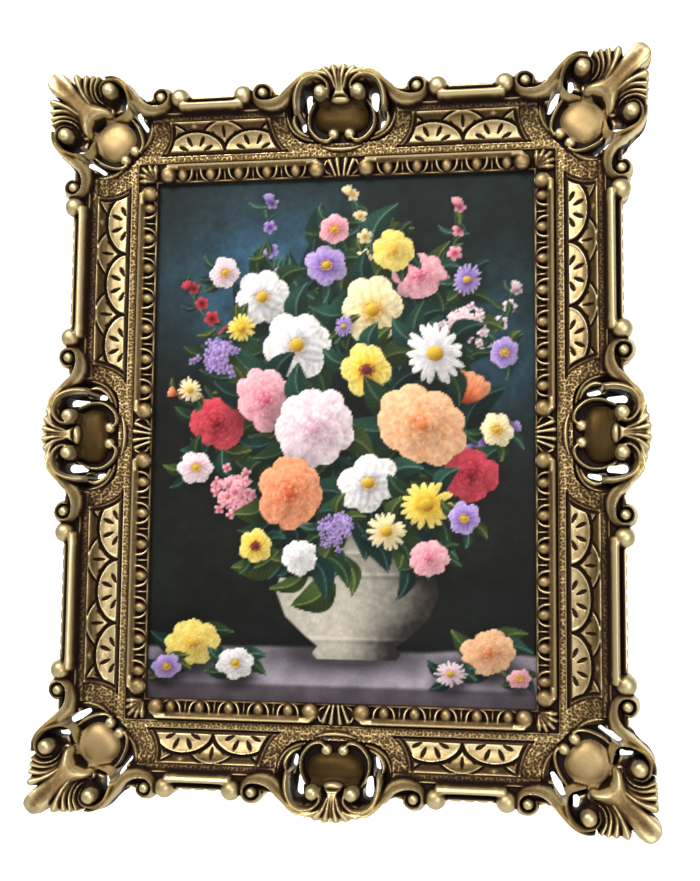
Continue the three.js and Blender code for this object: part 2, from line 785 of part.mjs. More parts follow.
// Upright, with the origin at the middle of the hanger's back face.
part.rotation.x = Math.PI / 2;
part.position.z = -HANGER_Y;

export default part;
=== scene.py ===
"""Framed flower painting: antiqued-gold swept frame with pierced carving, canvas panel, plain back."""
import math

import bpy
import numpy as np
from mathutils import Matrix, Vector


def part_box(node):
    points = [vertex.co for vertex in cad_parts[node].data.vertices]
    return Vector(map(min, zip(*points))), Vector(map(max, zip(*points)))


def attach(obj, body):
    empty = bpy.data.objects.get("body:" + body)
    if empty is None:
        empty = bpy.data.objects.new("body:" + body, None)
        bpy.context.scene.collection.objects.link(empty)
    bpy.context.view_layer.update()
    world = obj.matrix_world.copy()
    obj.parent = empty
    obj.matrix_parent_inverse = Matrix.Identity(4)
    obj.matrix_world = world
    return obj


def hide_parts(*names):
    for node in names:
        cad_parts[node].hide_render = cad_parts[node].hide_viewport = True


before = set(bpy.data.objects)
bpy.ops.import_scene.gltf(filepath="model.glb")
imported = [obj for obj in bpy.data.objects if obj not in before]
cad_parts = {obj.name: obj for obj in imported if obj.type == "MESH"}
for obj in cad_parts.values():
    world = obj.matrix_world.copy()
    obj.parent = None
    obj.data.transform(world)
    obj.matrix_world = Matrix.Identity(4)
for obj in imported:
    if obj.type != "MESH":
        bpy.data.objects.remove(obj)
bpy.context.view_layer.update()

MM = 0.001

# ---- places taken from the frame, in millimetres ----
picture_low, picture_high = (np.array(corner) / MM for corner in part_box("painting"))
frame_low, frame_high = (np.array(corner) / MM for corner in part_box("frame"))
CENTRE_X = (picture_low[0] + picture_high[0]) / 2
CENTRE_Z = (picture_low[2] + picture_high[2]) / 2
HALF_X = frame_high[0] - CENTRE_X
HALF_Z = frame_high[2] - CENTRE_Z

# ---- sizes of the carving, in millimetres ----
SIGHT_X = 146.3
SIGHT_Z = 199.5
RABBET_X = (picture_high[0] - picture_low[0]) / 2 + 1.0
RABBET_Z = (picture_high[2] - picture_low[2]) / 2 + 1.0
RABBET_DEPTH = 10.8
GROUND = 12.0
EGG_LINE = 5.4
ROD_LINE = 11.6
PANEL_INNER = 24.0
BAR_LINE = 54.8
BALL_LINE = 61.7
EDGE_LINE = 63.4
BOSS = 38.0
ROD_MIDDLE_END = 19.3
ROD_CORNER_END = 9.0
BAR_MIDDLE_END = 74.8
BAR_CORNER_END = 21.5
VOLUTE_MIDDLE = 59.1
VOLUTE_CORNER = 6.8
GRID = 0.42
QUARTER_TRIANGLES = 188000
NOTHING = -50.0      # a height that stands for no material
INSET = 0.05         # the carving stays this far inside the solid's box
THINNEST = 1.5       # front to back, at the least
BACK_PATINA = 0.46   # the even brown of the unrubbed back
SHARP_ANGLE = 55     # degrees; flatter edges are shaded smooth

rng = np.random.default_rng(7)


# ---- two-dimensional drawing on one quarter of the frame ----
class Place:
    """Maps a rail's (along, out) or a corner's (p, q) to the upper right quarter."""

    def __init__(self, name):
        self.swapped = name in ("side", "corner_low")
        self.offset = {
            "top": (0.0, SIGHT_Z),
            "side": (SIGHT_X, 0.0),
            "corner": (SIGHT_X, SIGHT_Z),
            "corner_low": (SIGHT_X, SIGHT_Z),
        }[name]
        self.reach = {"top": SIGHT_X, "side": SIGHT_Z}.get(name, 0.0)

    def __call__(self, points):
        points = np.asarray(points, float)
        if self.swapped:
            points = points[:, ::-1]
        return points + np.array(self.offset)


TOP, SIDE = Place("top"), Place("side")
CORNER, CORNER_LOW = Place("corner"), Place("corner_low")
FANS = {TOP: 2, SIDE: 3}
EGGS = {TOP: 5, SIDE: 7}

xs = np.arange(0, HALF_X + GRID, GRID)
zs = np.arange(0, HALF_Z + GRID, GRID)
X, Z = np.meshgrid(xs, zs, indexing="ij")
P, Q = X - SIGHT_X, Z - SIGHT_Z
OUT = np.maximum(P, Q)
ALONG = np.where(Q >= P, X, Z)


def smooth_path(points, steps=48):
    """Catmull-Rom through the points."""
    points = np.asarray(points, float)
    if len(points) == 2:
        return points
    padded = np.vstack([2 * points[0] - points[1], points, 2 * points[-1] - points[-2]])
    spots = np.linspace(0, len(points) - 1 - 1e-9, steps)
    cell = spots.astype(int)
    t = (spots - cell)[:, None]
    a, b, c, d = (padded[cell + k] for k in range(4))
    return 0.5 * (2 * b + (c - a) * t + (2 * a - 5 * b + 4 * c - d) * t ** 2
                  + (3 * b - a - 3 * c + d) * t ** 3)


def window(points, margin):
    """Grid cells round some points, with a margin."""
    low = np.min(points, axis=0) - margin
    high = np.max(points, axis=0) + margin
    i0, j0 = (max(int(v / GRID), 0) for v in low)
    i1, j1 = (max(int(v / GRID) + 2, 0) for v in high)
    return slice(i0, i1), slice(j0, j1)


def along_path(path, view):
    """Signed distance to a path (left of it is positive) and the share of the way along it."""
    x, z = X[view], Z[view]
    best = np.full(x.shape, 1e9)
    signed = np.zeros(x.shape)
    share = np.zeros(x.shape)
    steps = np.linalg.norm(np.diff(path, axis=0), axis=1)
    start = np.concatenate([[0], np.cumsum(steps)])
    for (ax, az), (bx, bz), step, before in zip(path[:-1], path[1:], steps, start):
        if step < 1e-9:
            continue
        ux, uz = (bx - ax) / step, (bz - az) / step
        t = np.clip((x - ax) * ux + (z - az) * uz, 0, step)
        dx, dz = x - ax - t * ux, z - az - t * uz
        d = np.hypot(dx, dz)
        nearer = d < best
        best[nearer] = d[nearer]
        side = ux * dz - uz * dx
        signed[nearer] = np.where(side >= 0, d, -d)[nearer]
        share[nearer] = ((before + t) / start[-1])[nearer]
    return signed, share


def at(values, share):
    """Value at a share of the way, from values spaced evenly along it."""
    values = np.atleast_1d(values)
    return np.interp(share, np.linspace(0, 1, len(values)), values)


def round_profile(u):
    """Half-round section: 1 in the middle, 0 at both edges."""
    return np.sqrt(np.clip(1 - u * u, 0, 1))


def roll_profile(u):
    """A roll with its crest a little left of the middle and a softer slope on its right."""
    crest = 0.18
    steep = np.sqrt(np.clip(1 - ((u - crest) / (1 - crest)) ** 2, 0, 1))
    t = np.clip((crest - u) / (1 + crest), 0, 1)
    return np.where(u > crest, steep, (1 - 0.3 * t ** 1.5) * np.sqrt(np.clip((1 - t) / 0.3, 0, 1)))


def lip_profile(u):
    """A crest near the left edge: a steep fall on its left, a long slope on its right."""
    crest = 0.42
    steep = np.sqrt(np.clip(1 - ((u - crest) / (1 - crest)) ** 2, 0, 1))
    t = np.clip((crest - u) / (1 + crest), 0, 1)
    slope = (1 - 0.5 * t ** 1.2 - 0.06 * np.sin(np.pi * t)) * np.sqrt(np.clip((1 - t) / 0.14, 0, 1))
    bead = 0.05 * np.exp(-((u - crest) / 0.13) ** 2)
    return np.where(u > crest, steep, slope) + bead


class Relief:
    def __init__(self):
        self.height = np.full(X.shape, NOTHING)
        self.inside = np.full(X.shape, -1e3)
        self.stipple = np.zeros(X.shape)
        self.tone = np.zeros(X.shape)

    def raise_to(self, view, z, footprint=None):
        """Keep the higher of what is there and what is laid on, with its footprint."""
        self.height[view] = np.maximum(self.height[view], z)
        if footprint is not None:
            self.inside[view] = np.maximum(self.inside[view], footprint)

    def band(self, place, route, half, crest, foot, profile=round_profile, left=True, steps=48,
             outline=True):
        """A raised strip along a route, with its own half width, crest and foot."""
        path = place(smooth_path(route, steps))
        if place.swapped == left:
            path = path[::-1]
            half, crest, foot = (np.atleast_1d(v)[::-1] for v in (half, crest, foot))
        view = window(path, np.max(half) + 1)
        d, share = along_path(path, view)
        w = at(half, share)
        u = d / w
        top, low = at(crest, share), at(foot, share)
        z = np.where(np.abs(u) < 1, low + (top - low) * profile(np.clip(u, -1, 1)), NOTHING)
        self.raise_to(view, z, w - np.abs(d) if outline else None)

    def ball(self, place, centre, radius, crest, stretch=(1, 1), outline=True):
        """A domed boss."""
        (x, z), = place([centre])
        rx, rz = radius * stretch[0], radius * stretch[1]
        if place.swapped:
            rx, rz = rz, rx
        view = window(np.array([[x, z]]), max(rx, rz) + 1)
        u = np.hypot((X[view] - x) / rx, (Z[view] - z) / rz)
        lift = np.where(u < 1, crest - radius + radius * np.clip(1 - u ** 2.4, 0, 1) ** 0.5, NOTHING)
        self.raise_to(view, lift, (1 - u) * min(rx, rz) if outline else None)

    def pierce(self, place, route, half):
        """A hole right through, along a route."""
        path = place(smooth_path(route, 16))
        view = window(path, np.max(half) + 8)
        d, share = along_path(path, view)
        self.inside[view] = np.minimum(self.inside[view], np.abs(d) - at(half, share))


def inside_polygon(points, view):
    """Signed distance to a closed outline, positive inside."""
    ring = np.vstack([points, points[:1]])
    d, _ = along_path(ring, view)
    d = np.abs(d)
    x, z = X[view], Z[view]
    odd = np.zeros(x.shape, bool)
    for (ax, az), (bx, bz) in zip(ring[:-1], ring[1:]):
        crosses = (az > z) != (bz > z)
        with np.errstate(divide="ignore", invalid="ignore"):
            reach = ax + (z - az) * (bx - ax) / (bz - az)
        odd ^= crosses & (x < reach)
    return np.where(odd, d, -d)


def diagonal(points):
    """Corner places from (u, v): u outwards along the diagonal from the boss, v across it."""
    points = np.asarray(points, float)
    u, v = points[:, 0], points[:, 1]
    return np.column_stack([BOSS + (u - v) / math.sqrt(2), BOSS + (u + v) / math.sqrt(2)])


CORNER_RIM = [(6, 42), (-4, 38.4), (-11.8, 36), (-18.6, 31.4), (-23.6, 23.5), (-25.8, 15.8), (-26.6, 8),
              (-26.8, 0)]
MIDDLE_RIM = [(38.6, 66), (42.4, 52), (42.4, 43), (38.2, 34.4), (31, 29), (22.4, 27.4), (0, 27.2)]
WHOLE = (slice(None), slice(None))


def rim_distances():
    """Distance outside the corner ornament's rim and outside each middle ornament's rim."""
    half = smooth_path(CORNER_RIM, 60)
    ring = np.vstack([half, half[::-1] * [1, -1]])
    corner = inside_polygon(CORNER(diagonal(np.vstack([[[90, 60]], ring, [[90, -60]]]))), WHOLE)
    middles = []
    for place in (TOP, SIDE):
        half = smooth_path(MIDDLE_RIM, 60)
        ring = np.vstack([half, half[::-1] * [-1, 1]])
        middles.append(inside_polygon(place(np.vstack([[[38.6, 120]], ring, [[-38.6, 120]]])), WHOLE))
    return -corner, -np.maximum(*middles)


PROFILE = [
    (-1, 14.6), (0, 14.6), (0.4, 15.1), (1.3, 15.1), (1.9, 14.0), (2.6, 12.8), (5, 12.9), (8.4, 13.6),
    (14.6, 13.4),
    (15.0, 13.2), (15.5, 13.4), (15.8, 15.4), (16.5, 15.5), (16.9, 14.8), (20.6, 14.8), (20.9, 15.5),
    (21.6, 15.5),
    (22.0, 12.8), (22.8, 12.3), (23.4, 13.0), (24.2, 14.2), (25.0, 13.4), (30, 13.9), (35, 15.3),
    (39, 17.6),
    (42, 20.4), (44, 23.2), (44.8, 24.8), (45.5, 25.0), (46.0, 23.6), (46.8, 24.6), (50.2, 26.2),
    (50.5, 28.6),
    (51.6, 29.0), (52.1, 26.8), (59.4, 27.0), (60.2, 29.5), (62.2, 29.8), (63.5, 29.0),
]


def draw_mouldings(relief, corner_rim, middle_rim):
    """The rail's plain section, its panels' borders, punched flats and scalloped edge."""
    s, h = np.array(PROFILE).T
    moulding = np.interp(OUT, s, h)
    # Beside the ornaments the panel, its grooves and its fillets give way to a flat punched ground.
    end = np.minimum(corner_rim - 13.6, middle_rim - 11.4)
    flat = np.interp(OUT, [15.8, 24, 36, 45, 50.5], [14.8, 15.2, 17.2, 22.5, 26.2])
    in_cove = (OUT > 20.4) & (OUT < 46.4)
    blend = np.clip(end / 1.2 + 0.5, 0, 1)
    moulding = np.where(in_cove, blend * moulding + (1 - blend) * flat, moulding)
    border = in_cove & (OUT > 23.4) & (OUT < 45.6)
    moulding += np.where(border, 1.1 * np.exp(-((end - 1.6) / 0.75) ** 2)
                         - 1.0 * np.exp(-((end - 3.4) / 0.7) ** 2), 0)
    relief.height = np.maximum(relief.height, moulding)
    scallop = 1.0 - 1.6 * np.abs(np.sin(np.pi * (ALONG - BAR_MIDDLE_END) / 9.6)) ** 1.4
    relief.inside = np.maximum(relief.inside, EDGE_LINE - OUT - np.clip(scallop, 0, 2))
    punched = (in_cove & (end < 0.4)) | ((OUT > 16.9) & (OUT < 20.6)) | ((OUT > 46.7) & (OUT < 50.2))
    relief.stipple = np.where(punched, 1.0, 0.0)
    # Inside the ornaments' rims only the low ground is left.
    for rim in (corner_rim, middle_rim):
        relief.height = np.where(rim < 0, GROUND, relief.height)
        relief.inside = np.where(rim < 0, -1e3, np.minimum(relief.inside, 1e3))
        relief.stipple = np.where(rim < 0, 0, relief.stipple)
    return end


def draw_grounds(relief):
    """The low grounds that carry the ornaments."""
    half = diagonal([(24, 32), (8, 38)] + [(u - 0.5, v + 0.5) for u, v in CORNER_RIM[1:]])
    other = half[::-1, ::-1]
    outline = CORNER(np.vstack([diagonal([(30, 16)]), half, other, diagonal([(30, -16)])]))
    relief.inside = np.maximum(relief.inside, inside_polygon(outline, WHOLE))
    for place in (TOP, SIDE):
        half = np.array([(31, 66)] + [(a + 0.5, s - 0.5) for a, s in MIDDLE_RIM[1:]])
        outline = place(np.vstack([half, half[::-1] * [-1, 1]]))
        relief.inside = np.maximum(relief.inside, inside_polygon(outline, WHOLE))


def draw_sight_band(relief, place):
    """Eggs, shells and darts, with the rods and their ball ends."""
    reach, count = place.reach, EGGS[place]
    rod = [(ROD_MIDDLE_END + 1, ROD_LINE), (reach - ROD_CORNER_END - 1, ROD_LINE)]
    relief.band(place, rod, 3.2, 21, 13.6, lip_profile, left=True, outline=False)
    for end, turn in ((ROD_MIDDLE_END, 1), (reach - ROD_CORNER_END, -1)):
        hook = [(end + turn * 7, ROD_LINE), (end + turn * 1, ROD_LINE - 0.3),
                (end - turn * 3, ROD_LINE - 3)]
        relief.band(place, hook, [3.1, 3.3, 3.0], 20.6, 14, outline=False)
        relief.ball(place, (end, EGG_LINE + 0.9), 6.9, 21.4, outline=False)
    first, last = 35.8, reach - 20.2
    spots = np.linspace(first, last, count)
    for spot in spots:
        relief.ball(place, (spot, EGG_LINE + 0.9), 4.9, 19.2, (0.92, 1.14), outline=False)
        shell = [(spot - 7.8, 9.6), (spot - 7.4, 6.0), (spot - 5.8, 2.9), (spot - 3.0, 1.2)]
        for side in (1, -1):
            route = [(spot + side * (a - spot), s) for a, s in shell]
            relief.band(place, route, [2.0, 1.8, 1.4, 0.8], [18.6, 18.2, 17.2, 15.8], 12.6, outline=False)
    for dart in list((spots[:-1] + spots[1:]) / 2) + [first - 11.4]:
        relief.band(place, [(dart, 9), (dart, 2.4)], [1.9, 0.8], [17.2, 15.6], 13, outline=False)


def draw_small_palmettes(relief):
    """Small palmettes at the middles and the corners of the sight edge."""
    for place in (TOP, SIDE):
        for lean in (-0.56, -0.2, 0.2, 0.56):
            foot = (math.sin(lean) * 9, 1.4)
            tip = (math.sin(lean) * 17.5, 1.4 + 12.2 * math.cos(lean * 0.8))
            relief.band(place, [foot, tip], [1.6, 1.8, 2.3], [17.6, 18.8, 19.0], 13.5, outline=False)
        curl = [(11.6, 12.4), (13.2, 8), (11.6, 4), (8.4, 2.4)]
        for side in (1, -1):
            relief.band(place, [(side * a, s) for a, s in curl], [1.3, 1.6, 0.8], [18, 17.4, 16], 13,
                        outline=False)
    for turn in (0, 20, -20, 41, -41):
        lean = math.radians(45 + turn)
        reach = 15.6 - 0.08 * abs(turn)
        petal = [(1.0 + r * math.cos(lean), 1.0 + r * math.sin(lean)) for r in (2, reach)]
        relief.band(CORNER, petal, [0.8, 2.1, 2.9, 1.9], [16.4, 18.4, 19.6, 18.6], 13.2, outline=False)


def draw_fans(relief, place, end):
    """Half-round fans with slots, and pointed fans with slots between and behind them."""
    reach, count = place.reach, FANS[place]
    low, high = 47.0, reach - 7.3
    half = (high - low) / count / 2
    (x0, z0), (x1, z1) = place([(low - 8, 22), (high + 8, 47)])
    view = window(np.array([[x0, z0], [x1, z1]]), 1)
    a, s = (Z[view], P[view]) if place.swapped else (X[view], Q[view])
    room = np.minimum(end[view] - 4.4, 1)
    height = relief.height[view]
    cove = height.copy()
    allowed = (s > 24.9) & (s < 44.6) & (end[view] > 4.2)

    def plateau(edge, lift, rim):
        """Raised face inside an edge distance, with a rim line and a groove round it."""
        face = lift * np.clip(edge / 0.5, 0, 1)
        line = rim * np.exp(-((edge - 0.9) / 0.5) ** 2)
        trench = -1.2 * np.exp(-((edge + 0.7) / 0.6) ** 2)
        return face + line + trench

    def slots(centre, foot, turns, near, far, wide, depth, keep):
        """Radial slots that start from one foot point."""
        cut = np.zeros(a.shape)
        for turn in turns:
            lean = math.radians(turn)
            r = (a - centre) * math.sin(lean) + (s - foot) * math.cos(lean)
            across = (a - centre) * math.cos(lean) - (s - foot) * math.sin(lean)
            t = np.clip((r - near) / (far - near), 0, 1)
            w = wide * (0.25 + 0.75 * np.sin(np.pi * np.clip(t * 0.8 + 0.1, 0, 1)) * (0.4 + 0.6 * t))
            over = np.hypot(across, np.where(r < near, r - near, np.where(r > far, r - far, 0)))
            cut = np.maximum(cut, depth * np.clip((w - over) / 0.45, 0, 1))
        return np.where(keep, cut, 0)

    back = np.full(a.shape, -9.0)
    for i in range(count + 1):
        centre = low + 2 * half * i
        u = np.hypot((a - centre) / (half + 0.4), (s - PANEL_INNER - 0.4) / 20.6)
        back = np.maximum(back, (1 - u) * 20)
    front = np.full(a.shape, -9.0)
    for i in range(count):
        centre = low + half * (2 * i + 1)
        u = np.hypot((a - centre) / (half - 0.4), (s - PANEL_INNER - 0.4) / 14.6)
        front = np.maximum(front, (1 - u) * 14)
    second = np.where(front < -1.2, plateau(back, 1.4, 0.6), 0)
    first = plateau(front, 2.2, 0.5)
    lift = np.where(front > -1.6, first, second)
    cut = np.zeros(a.shape)
    for i in range(count):
        centre = low + half * (2 * i + 1)
        cut += slots(centre, PANEL_INNER - 1.5, (-64, -27, 27, 64), 7.5, 14.0, 1.9, 1.9, front > 1.6)
    for i in range(count + 1):
        centre = low + 2 * half * i
        cut += slots(centre, PANEL_INNER + 1.5, (-36, 0, 36), 9.5, 16.0, 1.7, 1.5,
                     (back > 2.0) & (front < -1.6))
    for i in range(count):
        centre = low + half * (2 * i + 1)
        star = np.exp(-((np.abs(a - centre) * 0.32) + np.abs(s - 42.2) * 0.75) ** 2)
        lift = np.where((back < -1.0) & (front < -1.6), 1.3 * star + 0.5, lift)
    keep = np.clip(room + 0.4, 0, 1)
    relief.height[view] = np.where(allowed, cove + (lift - cut) * keep, height)


def draw_outer_bar(relief, place):
    """The outer bar between its two balls."""
    near, far = BAR_MIDDLE_END, place.reach - BAR_CORNER_END
    route = [(near + 2, BAR_LINE), (far - 2, BAR_LINE)]
    relief.band(place, route, 3.6, 36.6, 26.5, roll_profile, left=True, outline=False)
    for end, turn in ((near, 1), (far, -1)):
        hook = [(end + turn * 12, BAR_LINE), (end + turn * 6, BAR_LINE + 0.2),
                (end + turn * 2, BAR_LINE + 2.4), (end, BALL_LINE)]
        relief.band(place, hook, [3.6, 4.0, 5.0, 6.0], [36.6, 36.6, 36.4, 35.6], 26.5, roll_profile,
                    left=turn < 0)
        relief.ball(place, (end, BALL_LINE), 7.5, 37.8)


VOLUTE = [(6.4, -1.4), (6.4, 3.4), (1.6, 6.8), (-4.2, 5.8), (-7.2, 0.8), (-6.2, -4.8), (-1.4, -8.6),
          (7.0, -9.4), (14.6, -6.8),
          (20.4, -0.6)]
VOLUTE_HALVES = [0.9, 1.5, 2.0, 2.3, 2.5, 3.0, 3.9, 4.8, 4.6, 3.9]
CORNER_TAIL = [(26, 7), (32.4, 13.8), (40, 17.8), (46, 18.4)]
MIDDLE_TAIL = [(26, 5.2), (31.4, 9.6), (37, 12.6), (42, 14.2)]


def draw_s_scroll(relief, place, centre, turn, tail, halves):
    """A small volute that runs out into a rising tail."""
    route = [(centre[0] + turn * a, centre[1] + b) for a, b in VOLUTE + tail]
    halves = VOLUTE_HALVES + halves
    crests = [33, 35, 36.4, 37, 37.4, 37.6, 37.8, 37.8, 38, 38.4] + [38.6] * len(tail)
    relief.band(place, route, halves, crests, 24, lip_profile, left=turn > 0, steps=90)
    relief.ball(place, centre, 4.1, 37.0)
    relief.band(place, [(centre[0] - 3, centre[1]), (centre[0] + 3, centre[1])], 5, 27, 24)


CORNER_SCROLL = [(42.8, 66.4), (43.4, 72.0), (39.4, 77.0), (31.4, 78.6), (24.2, 75.2), (19.6, 68.2),
                 (18.0, 61), (19.4, 55.6),
                 (24.4, 52.2), (33.4, 51.8)]


def draw_corner(relief, place):
    """Half of a corner ornament: C-scroll, flutes, arc, ball and fronds."""
    relief.band(place, [(38, 60), (31, 66), (27, 70)], [6, 9, 6], 21, 20)
    relief.band(place, CORNER_SCROLL, [1.2, 2.0, 2.9, 3.2, 3.3, 3.5, 3.7, 3.6, 3.0, 1.8],
                [36, 38, 39.4, 39.4, 39.2, 38.6, 36, 31.5, 26.5, 22], 15, lip_profile, left=True, steps=80)
    relief.ball(place, (35.2, 70.2), 6.2, 39.6)
    relief.band(place, [(35.2, 70.2), (38, 67.4)], [5, 6.5], [36, 32], 22)
    # The ground under the flutes rises outwards.
    for route, half in (
        ([(40, 57), (47, 66), (47.5, 77)], 5.5),
        ([(47, 57), (53, 66), (55, 77)], 5.5),
        ([(52, 60), (59, 69), (61, 77)], 4.0),
    ):
        relief.band(place, route, half, [25, 29.5, 33], [24, 28, 30])
    flutes = [
        ([(46.6, 55.4), (51.6, 60.4), (55.4, 65.8), (58.4, 72.4), (60.6, 79.4)], [1.4, 2.2, 2.6, 3.0, 3.9],
         [29, 34.4, 38, 39.8, 41]),
        ([(42.4, 54.6), (45.4, 56.6), (48.8, 59.4), (52.6, 65.2), (54.2, 71.6), (53.2, 80.0)],
         [1.4, 2.4, 2.6, 2.5, 2.6, 3.0], [24, 28.5, 33.5, 36.6, 38.6, 40]),
        ([(37.6, 59.2), (39.6, 58.4), (42.6, 58.6), (46, 60.6), (49.4, 65.6), (50.0, 72), (47.8, 80.4)],
         [0.9, 1.5, 1.8, 2.0, 2.1, 2.2, 2.3], [27, 28.6, 30.4, 33, 36, 38, 39.4]),
        ([(41.6, 61.2), (44.8, 63.6), (46.8, 68), (46.6, 73.6), (43.2, 80.0)], [0.8, 1.2, 1.3, 1.5, 1.9],
         [30, 33, 35.6, 37.4, 38.6]),
    ]
    for route, halves, crests in flutes:
        relief.band(place, route, halves, crests, [c - 7 for c in crests], round_profile, steps=60)
    arc = diagonal([(5.6, 18.8), (-2, 21.0), (-10, 20.3), (-18.4, 16.9), (-23.8, 12.2), (-25.4, 7.8)])
    relief.band(place, arc, [1.0, 1.5, 1.7, 1.8, 1.8, 1.8], [21, 21.4, 21, 20.6, 20.4, 19.6], 10.5)
    relief.ball(place, tuple(diagonal([(-21.6, 5.3)])[0]), 4.5, 20.6)
    frond = diagonal([(2.6, 36.6), (-8, 34.8), (-17, 29.0), (-22.4, 21.6), (-24.6, 14), (-25.2, 8)])
    relief.band(place, frond, [3.0, 3.4, 3.6, 3.2, 2.4, 1.2], [26, 24.4, 22.4, 20.6, 19, 17], 11.5,
                lip_profile, left=False)
    for tip in ([(1, 34), (3.4, 29.8), (0.6, 27.0)], [(-13, 28.6), (-9.6, 26.6), (-8.4, 23.6)]):
        relief.band(place, diagonal(tip), [2.6, 2.0, 0.9], [24, 22, 17], 11.5)


LEAF_EDGE = [(15.8, 0), (14.6, 4.0), (11.8, 8.4), (9.4, 12.0), (12.4, 14.2), (17.0, 13.0), (21.5, 10.4),
             (26, 8.4), (31, 7.4),
             (38, 7.2), (44, 7.8), (49, 8.7), (54, 8.9), (58, 7.7), (60.8, 5.0), (62.2, 0)]


def draw_leaf(relief):
    """The smooth leaf on the diagonal, from the lobed collar round the boss to its round tip."""
    half = smooth_path(LEAF_EDGE, 90)
    points = CORNER(diagonal(np.vstack([half * [1, -1], half[::-1][1:]])))
    view = window(points, 1)
    edge = inside_polygon(points, view)
    u = ((P[view] - BOSS) + (Q[view] - BOSS)) / math.sqrt(2)
    v = ((Q[view] - BOSS) - (P[view] - BOSS)) / math.sqrt(2)
    crown = np.interp(u, [9, 14, 20, 30, 42, 52, 62], [28.4, 30.8, 33, 36.0, 39.6, 41.4, 41.5])
    width = np.interp(u, [9, 20, 31, 50, 60], [5, 6, 4.4, 5.2, 4.0])
    fall = np.interp(u, [9, 20, 40, 60], [4.2, 3.4, 1.6, 0.9])
    edge_fall = fall * (1 - np.clip(edge / width, 0, 1)) ** 2
    wall = np.interp(u, [20, 45], [5, 2.5]) * (1 - np.sqrt(np.clip(edge / 0.7, 0, 1)))
    dish = 0.9 * np.exp(-(v / 3.2) ** 2) * np.clip((u - 30) / 16, 0, 1)
    relief.raise_to(view, np.where(edge > 0, crown - edge_fall - wall - dish, NOTHING), edge)


def draw_shield(relief, centre, halves, turn, crest, power, tone):
    """A smooth domed shield; its tone marks the bare patina of its face."""
    x, z = centre
    view = window(np.array([[x, z]]), max(halves) + 2)
    dx, dz = X[view] - x, Z[view] - z
    u = dx * math.cos(turn) + dz * math.sin(turn)
    v = dz * math.cos(turn) - dx * math.sin(turn)
    r = (np.abs(u / halves[0]) ** power + np.abs(v / halves[1]) ** power) ** (1 / power)
    lift = np.where(r < 1, crest - 6.8 + 6.8 * np.clip(1 - r ** 3.2, 0, 1) ** 0.7, NOTHING)
    shown = (r < 0.97) & (relief.height[view] <= lift + 0.05)
    relief.raise_to(view, lift, (1 - r) * min(halves))
    relief.tone[view] = np.where(shown, tone, relief.tone[view])


